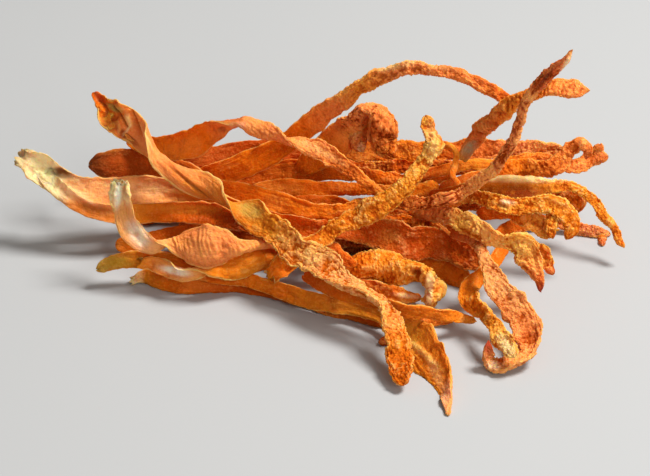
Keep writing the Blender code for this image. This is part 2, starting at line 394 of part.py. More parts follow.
def crossings(ribbons, starts, balls, radius):
    """Pairs of stations of different strands that meet in the view, the nearer strand's station first.

    Pairs that follow on each other are one crossing, and there the strand that is nearer to the viewer
    on average is taken as the nearer one throughout.  With each pair comes the least slide of the
    nearer over the farther that keeps their balls clear.
    """
    middle = balls[:, len(SETTLE_LANES) // 2]
    reach = np.linalg.norm(balls - middle[:, None], axis=2).max(axis=1) + radius.max(axis=1)
    ribbon_of = np.repeat(np.arange(len(ribbons)), np.diff(starts))
    node = np.array([ribbon.node for ribbon in ribbons])[ribbon_of]
    near = np.linalg.norm(middle[:, None] - middle[None], axis=2) < reach[:, None] + reach + NEAR_MARGIN
    one, two = np.nonzero(np.triu(near & (node[:, None] != node)))
    apart = balls[one][:, :, None] - balls[two][:, None]
    ahead = np.einsum("nijk,nk->nij", apart, sight(middle[one]))
    aside = (apart ** 2).sum(axis=3) - ahead ** 2
    room = (radius[one][:, :, None] + radius[two][:, None] + GAP) ** 2 - aside
    meets = (room > 0).any(axis=(1, 2))
    one, two, ahead, room = one[meets], two[meets], ahead[meets], room[meets]

    order = np.lexsort((one, ribbon_of[two], ribbon_of[one]))
    one, two, ahead, room = one[order], two[order], ahead[order], room[order]
    parted = ((np.diff(ribbon_of[one]) != 0) | (np.diff(ribbon_of[two]) != 0)
              | (np.diff(one) > CROSSING_BREAK))
    crossing = np.concatenate([[0], np.cumsum(parted)])
    lead = np.bincount(crossing, ((middle[one] - middle[two]) * sight(middle[one])).sum(axis=1))
    sign = np.where(lead[crossing] >= 0, 1, -1)
    lack = np.where(room > 0, np.sqrt(np.maximum(room, 0)) - sign[:, None, None] * ahead, -np.inf)
    return np.where(sign > 0, one, two), np.where(sign > 0, two, one), lack.max(axis=(1, 2))


def sink_of(clearance, share):
    """How far each station of a strand may sink: both halves come down onto what is nearest behind them."""
    half = len(clearance) // 2
    base, tip = clearance[:half].min(), clearance[half:].min()
    if not np.isfinite(base) or not np.isfinite(tip):
        return min(base, tip) if np.isfinite(min(base, tip)) else 0.0
    return (1 - share) * base + share * tip


def settle(ribbons):
    """Slides the ribbons along the line of sight until they rest on each other and on the table.

    Which of two ribbons lies nearer the viewer stays as their stations say.
    """
    balls, radius = (np.concatenate(parts) for parts in zip(*map(lane_balls, ribbons)))
    starts = np.cumsum([0] + [len(ribbon.slide) for ribbon in ribbons])
    front, back, lack = crossings(ribbons, starts, balls, radius)
    lowest = (balls[..., 2] - radius).min(axis=1)
    floor = (-TABLE_BITE - lowest) / sight(balls[:, len(SETTLE_LANES) // 2])[:, 2]
    slide = np.maximum(0, floor)
    for turn in range(SETTLE_ROUNDS):
        spare = slide[front] - slide[back] - lack
        push = np.clip(-spare, 0, MOST_PUSH) * PUSH_EASE
        evenness = np.clip((SETTLE_ROUNDS - turn) / (SETTLE_ROUNDS - SINK_ROUNDS), LEAST_EVENNESS, 1)
        forward, backward = np.zeros(len(slide)), np.zeros(len(slide))
        np.maximum.at(forward, front, push)
        np.maximum.at(backward, back, push)
        slide = slide + (forward - backward) / 2
        clearance = np.where(slide - floor < TABLE_REACH, slide - floor, np.inf)
        np.minimum.at(clearance, front, np.maximum(spare, 0))
        for ribbon, a, b in zip(ribbons, starts, starts[1:]):
            row = slide[a:b] + evenness * (blurred(slide[a:b], BLUR_STATIONS) - slide[a:b])
            share = np.linspace(0, 1, b - a)
            if ribbon.trunk:
                root = np.interp(ribbon.root, ribbon.trunk.slide_at, ribbon.trunk.slide)
                row += (root - row[0]) * (1 - share) ** 2
            elif turn < SINK_ROUNDS:
                row -= SINK_EASE * sink_of(clearance[a:b], share) * (row > -SINK_LIMIT)
            slide[a:b] = ribbon.slide = np.maximum(row, floor[a:b])


def ring_places(ribbon):
    """Where the sections stand: evenly along the line, closer together where it bends."""
    fine = np.linspace(0, ribbon.length, 400)
    steps = np.diff(ribbon.centres(fine), axis=0)
    heading = steps / np.linalg.norm(steps, axis=1)[:, None]
    turn = np.arccos(np.clip((heading[1:] * heading[:-1]).sum(axis=1), -1, 1))
    effort = np.linalg.norm(steps, axis=1) + BEND_WEIGHT * np.concatenate([[0], turn])
    travelled = np.concatenate([[0], np.cumsum(effort)])
    count = max(5, round(travelled[-1] / RING_STEP))
    shares = np.linspace(0, 1, count + 1)[1:-1]
    inner = np.interp(shares * travelled[-1], travelled, fine)
    inner = inner[(inner > 2 * END_INSET) & (inner < ribbon.length - 2 * END_INSET)]
    return np.concatenate([[END_INSET], inner, [ribbon.length - END_INSET]])


def ribbon_mesh(name, ribbon):
    """Closed mesh of the ribbon: rings of corners with a point at each end, pressed flat on the table."""
    angles = np.arange(SIDES) * 2 * math.pi / SIDES
    places = ring_places(ribbon)
    rings = ribbon.surface(places, angles).reshape(-1, 3)
    ends = ribbon.centres(np.array([0.0, ribbon.length]))
    points = np.concatenate([rings, ends])
    points[:, 2] = np.maximum(points[:, 2], 0.0)
    corner = np.arange(SIDES)
    after = (corner + 1) % SIDES
    faces = []
    for k in range(len(places) - 1):
        low, high = k * SIDES, (k + 1) * SIDES
        faces += [(low + a, low + b, high + b, high + a) for a, b in zip(corner, after)]
    base, tip, last = len(rings), len(rings) + 1, len(rings) - SIDES
    faces += [(base, b, a) for a, b in zip(corner, after)]
    faces += [(tip, last + a, last + b) for a, b in zip(corner, after)]
    mesh = bpy.data.meshes.new(name)
    mesh.from_pydata(points.tolist(), [], [tuple(int(i) for i in face) for face in faces])
    build = bmesh.new()
    build.from_mesh(mesh)
    bmesh.ops.triangulate(build, faces=build.faces)
    bmesh.ops.recalc_face_normals(build, faces=build.faces)
    build.to_mesh(mesh)
    build.free()
    return mesh


def finish_material(name, colour):
    material = bpy.data.materials.new(name)
    material.use_nodes = True
    shader = material.node_tree.nodes["Principled BSDF"]
    shader.inputs["Base Color"].default_value = (*colour, 1.0)
    shader.inputs["Roughness"].default_value = 0.75
    shader.inputs["Metallic"].default_value = 0.0
    return material


def add_object(name, mesh):
    made = bpy.data.objects.new(name, mesh)
    bpy.context.scene.collection.objects.link(made)
    return made


def add_strand(name, ribbons, colour):
    """The strand's main ribbon, with each branch joined to it."""
    strand = add_object(name, ribbon_mesh(name, ribbons[0]))
    strand.data.materials.append(finish_material(name + "_skin", colour))
    for number, ribbon in enumerate(ribbons[1:], 1):
        branch = add_object(f"{name}_branch_{number}", ribbon_mesh(f"{name}_branch_{number}", ribbon))
        branch.hide_render = True
        branch.display_type = "WIRE"
        join = strand.modifiers.new(f"branch_{number}", "BOOLEAN")
        join.operation = "UNION"
        join.object = branch
    strand.data.shade_smooth()
    return strand


def build_heap():
    clear_scene()
    ribbons = []
    for name, (thickness, cup, _, stations, branches) in STRANDS.items():
        trunk = Ribbon(name, stations, thickness, cup)
        ribbons += [trunk] + [Ribbon(name, route, thickness, cup, trunk) for route in branches]
    settle(ribbons)
    for name, (_, _, colour, _, _) in STRANDS.items():
        add_strand(name, [ribbon for ribbon in ribbons if ribbon.node == name], colour)


build_heap()
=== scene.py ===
"""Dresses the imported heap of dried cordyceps: a fine skin for every strand, a pale floor, soft light.

Units are metres, +Z is up, and the floor is Z = 0.  The strands' bases are at -X and their tips at +X.

The routes and the settling are the part's own, repeated here so that each skin lies on its solid.  A
route's stations give, in turn,
    column, row   where the strand's middle line is seen in the reference view, in that view's pixels
    height        of the middle line above the floor before settling, in millimetres
    width         of the ribbon, in millimetres
    roll          of the ribbon about its own line, in degrees, left out where it is 0, which turns its
                  broad face to the viewer
"""

import json
import math

import bpy
import numpy as np
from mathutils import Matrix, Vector


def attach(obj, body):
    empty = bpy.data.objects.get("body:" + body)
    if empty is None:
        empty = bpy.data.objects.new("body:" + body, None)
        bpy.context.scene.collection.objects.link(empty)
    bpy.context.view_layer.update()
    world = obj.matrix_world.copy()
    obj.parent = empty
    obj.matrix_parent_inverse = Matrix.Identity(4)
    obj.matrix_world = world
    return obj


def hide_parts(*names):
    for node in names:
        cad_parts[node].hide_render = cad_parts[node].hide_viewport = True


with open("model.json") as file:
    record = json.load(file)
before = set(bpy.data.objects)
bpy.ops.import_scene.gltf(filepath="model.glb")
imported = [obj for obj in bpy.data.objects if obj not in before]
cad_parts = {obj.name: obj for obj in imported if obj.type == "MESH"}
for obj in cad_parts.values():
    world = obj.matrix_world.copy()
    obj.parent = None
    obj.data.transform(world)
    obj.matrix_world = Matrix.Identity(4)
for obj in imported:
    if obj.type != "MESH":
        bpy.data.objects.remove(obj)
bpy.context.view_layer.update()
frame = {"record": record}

MM = 0.001

# The reference view, which the stations' columns and rows belong to.
VIEW_COLUMNS = 650
VIEW_ROWS = 476
VIEW_TILT = math.radians(30)  # the line of sight slopes down this much
VIEW_DISTANCE = 380 * MM
VIEW_SCALE = 6.0  # pixels a millimetre at the view's target
VIEW_TARGET = (0.596 * MM, -0.827 * MM, 12 * MM)
TO_VIEWER = np.array([0.0, -math.cos(VIEW_TILT), math.sin(VIEW_TILT)])
VIEW_UP = np.array([0.0, math.sin(VIEW_TILT), math.cos(VIEW_TILT)])
EYE = np.array(VIEW_TARGET) + TO_VIEWER * VIEW_DISTANCE

# Sizes of the swept solids.
LEAST_WIDTH = 0.5 * MM
END_INSET = 0.45 * MM  # of the first and last sections from a strand's pointed ends
END_ROUNDING = 0.8 * MM  # shortest length over which an end is rounded off
TANGENT_STEP = 0.2 * MM  # to either side of a place, for the direction of the line there

# The settling of the heap.
GAP = 0.45 * MM  # clear space kept between strands
FLOOR_BITE = 0.3 * MM  # how far a strand's round underside is pressed flat on the floor
SETTLE_STEP = 1.2 * MM  # between a strand's settling stations
SETTLE_LANES = np.linspace(-0.92, 0.92, 7)  # across the ribbon, in half widths
LANE_TAPER = 0.75  # how much thinner the ribbon is taken to be at its edges than in its middle
SETTLE_ROUNDS = 260
SINK_ROUNDS = 140  # the first rounds, in which strands also sink onto what lies behind and below them
PUSH_EASE = 0.5  # share of an overlap that one round takes away
MOST_PUSH = 1.5 * MM  # largest overlap that one round looks at
SINK_EASE = 0.12  # share of a strand's clearance that one round takes away
BLUR_STATIONS = 5  # over which a strand's slide is evened out in each round
LEAST_EVENNESS = 0.02  # share of that evening out which is left in the last round
SINK_LIMIT = 10 * MM  # farthest that a strand sinks along the line of sight
SINK_REACH = 4 * MM  # a strand that is farther than this from the floor, along the sight line, stays off it
NEAR_MARGIN = 12 * MM  # strands farther apart than this never meet
CROSSING_BREAK = 3  # stations without a meeting that part one crossing of two strands from the next

# The studio.
SENSOR_WIDTH = 36  # of the camera, in millimetres as its lens is
FLOOR_REACH = 2  # metres from the middle of the floor to its edges
SKY_TONE = (1.0, 0.93, 0.84, 1.0)
SKY_STRENGTH = 0.25
# light: place and size in metres, power in watts, colour
LIGHTS = {
    "window_light": ((0.43, 0.05, 0.72), 0.26, 9.6, (1.0, 0.96, 0.90)),
    "front_fill": ((0.40, -0.72, 0.46), 0.40, 2.9, (1.0, 0.95, 0.88)),
}

# The mesh of the skins.
SKIN_STEP = 0.18 * MM  # between points along and around a strand
LEAST_AROUND = 24
MOST_AROUND = 84
END_RINGS = (0.008, 0.05, 0.13, 0.24)  # of the last rings from an end, in millimetres

ROOT_REACH = 4.5 * MM  # length over which a branch comes up out of its trunk
ROOT_DEPTH = 0.9 * MM  # of a branch's root in its trunk
BLUNT_END = 1.1 * MM  # from a torn end, where its strand is as wide as the tear
LEAST_TEAR = 0.6  # millimetres of torn skin from which an end is blunt
TEAR_REACH = 2.5 * MM  # from an end, over which its skin is pulled into tongues
POINTS_A_WIDTH = 2.3  # steps around a strand for each step that would go across it
END_EASE = 1.2 * MM  # from an end, over which the relief comes up
THIN_WIDTH = 1.25 * MM  # half width and half thickness under which the relief is lower
THIN_DEPTH = 0.6 * MM
NOISE_SHIFT = 0.05  # metres between one strand's place in the noise and the next one's
EDGE_SHIFT = 7 * MM  # between an edge's place in the noise and the middle's
WARP = 0.22 * MM  # how far the relief's pattern is pushed about
GRANULE_SIZE = 0.60 * MM
WRINKLE_PERIOD = 0.86 * MM
WRINKLE_EASE = 0.06  # share of the strand over which its wrinkles come up and go down

# Dried-skin colours.
ORANGE = (0.8, 0.16, 0.003)
BRIGHT = (0.92, 0.24, 0.008)
GOLD = (0.9, 0.32, 0.022)
OCHRE = (0.72, 0.235, 0.012)
YELLOW = (0.96, 0.53, 0.1)
AMBER = (1.0, 0.43, 0.05)
CREAM = (0.93, 0.72, 0.38)
PEACH = (0.96, 0.43, 0.14)
RUST = (0.58, 0.082, 0.001)
EMBER = (0.45, 0.052, 0.001)
MAROON = (0.3, 0.028, 0.012)
RED = (0.8, 0.17, 0.055)
VIVID = (1.0, 0.22, 0.005)
SALMON = (1.0, 0.32, 0.09)
UMBER = (0.2, 0.045, 0.008)
OLIVE = (0.48, 0.32, 0.06)
PINK = (0.85, 0.28, 0.12)

# The materials.
TRANSLUCENCE = {"Subsurface Weight": 0.40, "Subsurface Radius": (1.0, 0.34, 0.06),
                "Subsurface Scale": 1.6 * MM}  # light goes in deepest in red
FINE_DEPTH = 0.22 * MM  # of the bumps that are too fine for the mesh
FLOOR_GREY = (0.44, 0.46, 0.485, 1.0)

# material slot: colour of the painted shade in the creases and of the dark mottling, colour of the painted
# highlight on the crests and rims and of the pale mottling, how much slow mottling, roughness
FINISHES = {
    "deep_orange_skin": ((0.34, 0.045, 0.002, 1.0), (0.95, 0.44, 0.13, 1.0), 0.40, 0.52),
    "orange_skin": ((0.46, 0.070, 0.002, 1.0), (1.0, 0.50, 0.14, 1.0), 0.40, 0.50),
    "golden_skin": ((0.56, 0.105, 0.003, 1.0), (1.0, 0.62, 0.19, 1.0), 0.36, 0.50),
    "cream_skin": ((0.52, 0.085, 0.003, 1.0), (1.0, 0.52, 0.17, 1.0), 0.30, 0.46),
}

# How a strand looks.  tint: (share of its length, colour) from base to tip.  grain: the shares between which
# the granules come up, and how strong they are.  wrinkle: the shares between which fine ridges cross it, or
# nothing.  ruffle: how far its edges wave, in millimetres.  torn: how far tongues of skin stand out from its
# base and its tip, in millimetres.  rough: how far from its base and its tip it is crumpled, and how much.
# broad: how many times as wide as the solid it is.


def look(tint, grain=(0.25, 0.55, 1.0), wrinkle=(), ruffle=0.45, torn=(0.5, 0.4), rough=(0, 0, 0), broad=1.0):
    return {"tint": tint, "grain": grain, "wrinkle": wrinkle, "ruffle": ruffle, "torn": torn, "rough": rough,
            "broad": broad}


# The look of the strands deep in the heap that have none of their own: rust and ember, their own colour darkened as
# painted shade for how deep they lie.
BURIED_SHADED_LOOK = look([(0, RUST), (0.5, EMBER), (1, RUST)])
LOOKS = {
    "diagonal_strand": look([(0, RUST), (0.06, ORANGE), (0.16, SALMON), (0.3, SALMON), (0.42, OCHRE),
                             (0.52, GOLD), (0.62, PEACH), (0.78, PEACH), (0.9, BRIGHT), (1, ORANGE)],
                            (0.40, 0.56, 0.9), torn=(0.5, 0.4), rough=(11, 0, 0.8)),
    "leaf_tip_strand": look([(0, OLIVE), (0.08, OCHRE), (0.25, ORANGE), (0.6, OCHRE), (0.78, GOLD),
                             (0.93, BRIGHT), (1, PEACH)],
                            (0.66, 0.84, 0.35), torn=(0.5, 0.3), rough=(4, 0, 0.4)),
    # front_low_strand: its rust middle is partly its own colour and partly painted shade for where it lies under
    # the heap's front.
    "front_low_strand": look([(0, CREAM), (0.05, OCHRE), (0.12, ORANGE), (0.3, RUST), (0.5, RUST), (1, ORANGE)],
                             (0.3, 0.7, 0.5), torn=(0.7, 0.3)),
    "long_low_strand": look([(0, RUST), (0.3, ORANGE), (0.6, OCHRE), (1, BRIGHT)], (0.5, 0.9, 0.5)),
    "pale_cup_strand": look([(0, BRIGHT), (0.12, PEACH), (0.22, BRIGHT), (0.36, OCHRE), (0.5, OCHRE),
                             (0.65, BRIGHT), (0.85, GOLD), (1, YELLOW)],
                            (0.5, 0.62, 0.9), ruffle=0.9, torn=(0.9, 0.8), rough=(3, 12, 0.6)),
    "wrinkled_leaf_strand": look([(0, CREAM), (0.05, CREAM), (0.1, PEACH), (0.3, PEACH), (0.36, SALMON),
                                  (0.6, SALMON), (1, ORANGE)],
                                 (0.6, 0.9, 0.6), (0.36, 0.64), torn=(0.9, 0.3), rough=(4.5, 0, 0.7)),
    # forked_base_strand: its ember tip half is its own dark brown-orange, deepened as painted shade where it lies
    # low in the middle of the heap.
    "forked_base_strand": look([(0, CREAM), (0.12, CREAM), (0.17, PEACH), (0.3, PEACH), (0.4, OCHRE),
                                (0.5, ORANGE), (0.65, RUST), (0.8, EMBER), (1, EMBER)],
                               (0.5, 0.8, 0.6), torn=(0.9, 0.4), rough=(7, 0, 0.6)),
    "tall_pointed_strand": look([(0, UMBER), (0.06, EMBER), (0.16, RUST), (0.28, ORANGE), (0.55, BRIGHT),
                                 (0.66, SALMON), (0.86, SALMON), (0.92, RED), (1, RED)],
                                (0.35, 0.6, 0.9), rough=(0, 45, 0.6), broad=0.92),
    "loop_over_strand": look([(0, ORANGE), (0.12, VIVID), (0.34, VIVID), (0.46, SALMON), (0.7, SALMON),
                              (1, BRIGHT)],
                             (0.5, 0.7, 0.6)),
    "tall_arch_strand": look([(0, RUST), (0.2, VIVID), (0.38, VIVID), (0.5, SALMON), (0.58, AMBER),
                              (0.68, SALMON), (0.8, SALMON), (1, ORANGE)],
                             (0.3, 0.6, 0.7), rough=(0, 30, 0.25)),
    "ribbed_strand": look([(0, OLIVE), (0.14, BRIGHT), (0.25, SALMON), (0.6, BRIGHT), (1, SALMON)],
                          (0.1, 0.3, 0.7), (0.2, 0.94), rough=(0, 26, 0.3)),
    "rear_long_strand": look([(0, RUST), (0.5, BRIGHT), (0.8, SALMON), (1, PEACH)], (0.1, 0.4, 0.6)),
    "folded_top_strand": look([(0, ORANGE), (0.25, BRIGHT), (0.6, SALMON), (1, ORANGE)],
                              (0.35, 0.5, 0.9), ruffle=0.2, broad=1.07),
    "thin_hook_strand": look([(0, ORANGE), (0.5, GOLD), (1, ORANGE)], (0.2, 0.6, 0.4), ruffle=0.1),
    "saddle_strand": look([(0, RUST), (0.3, GOLD), (0.5, BRIGHT), (1, SALMON)], (0.3, 0.5, 0.7)),
    "right_curl_strand": look([(0, RUST), (0.5, BRIGHT), (1, SALMON)], (0.2, 0.4, 0.75), broad=1.15),
    "drooping_strand": look([(0, RUST), (0.25, OCHRE), (0.45, OCHRE), (0.6, GOLD), (1, BRIGHT)],
                            (0.45, 0.65, 0.9)),
    "ring_tip_strand": look([(0, RUST), (0.5, RUST), (1, ORANGE)], (0.2, 0.4, 1.0)),
    "hook_tip_strand": look([(0, RUST), (0.3, OCHRE), (0.5, GOLD), (1, BRIGHT)], (0.0, 0.2, 1.0)),
    "hanging_leaf_strand": look([(0, RUST), (0.5, ORANGE), (1, OCHRE)], (0.3, 0.6, 0.7)),
    "rear_table_strand": look([(0, RUST), (0.4, ORANGE), (1, PINK)], (0.2, 0.5, 0.9)),
    "forked_tip_strand": look([(0, RUST), (0.25, SALMON), (0.42, AMBER), (0.55, SALMON), (0.7, AMBER),
                               (0.9, SALMON), (1, MAROON)],
                              (0.0, 0.2, 0.85), ruffle=0.6, rough=(0, 16, 0.35)),
    "front_curl_strand": look([(0, RUST), (0.25, PEACH), (0.5, PEACH), (0.7, SALMON), (0.9, PEACH), (1, MAROON)],
                              (0.0, 0.2, 0.75)),
    "pale_tip_strand": look([(0, ORANGE), (0.5, BRIGHT), (0.75, OCHRE), (0.85, YELLOW), (1, YELLOW)],
                            (0.2, 0.5, 0.8)),
    "saddle_ribbon": look([(0, RUST), (0.5, ORANGE), (1, BRIGHT)], (0.5, 0.9, 0.4)),
    "red_strand": look([(0, EMBER), (0.5, ORANGE), (0.8, ORANGE), (1, BRIGHT)], (0.3, 0.6, 0.8)),
    "upright_strand": look([(0, ORANGE), (0.3, OCHRE), (0.5, OCHRE), (0.7, GOLD), (0.85, YELLOW), (1, GOLD)],
                           (0.16, 0.3, 0.9), torn=(0.9, 0.3), rough=(6, 7, 0.6)),
    "rear_left_strand": look([(0, EMBER), (0.5, RUST), (1, ORANGE)], (0.4, 0.6, 0.8)),
    "mid_rear_strand_a": look([(0, EMBER), (0.4, ORANGE), (1, ORANGE)], (0.4, 0.6, 0.6)),
    "mid_rear_strand_b": look([(0, ORANGE), (0.5, ORANGE), (1, BRIGHT)], (0.4, 0.6, 0.5)),
    "mid_rear_strand_c": look([(0, RUST), (0.5, ORANGE), (1, ORANGE)], (0.4, 0.6, 0.6)),
    "lobe_base_strand": look([(0, ORANGE), (0.1, ORANGE), (0.3, RUST), (1, EMBER)], (0.4, 0.7, 0.8)),
    "under_ribbon_strand": look([(0, EMBER), (0.5, RUST), (1, OCHRE)], (0.2, 0.6, 0.5), rough=(0, 12, 0.7)),
    "tucked_tip_strand": look([(0, RUST), (1, RUST)], (0.0, 0.2, 0.9)),
}

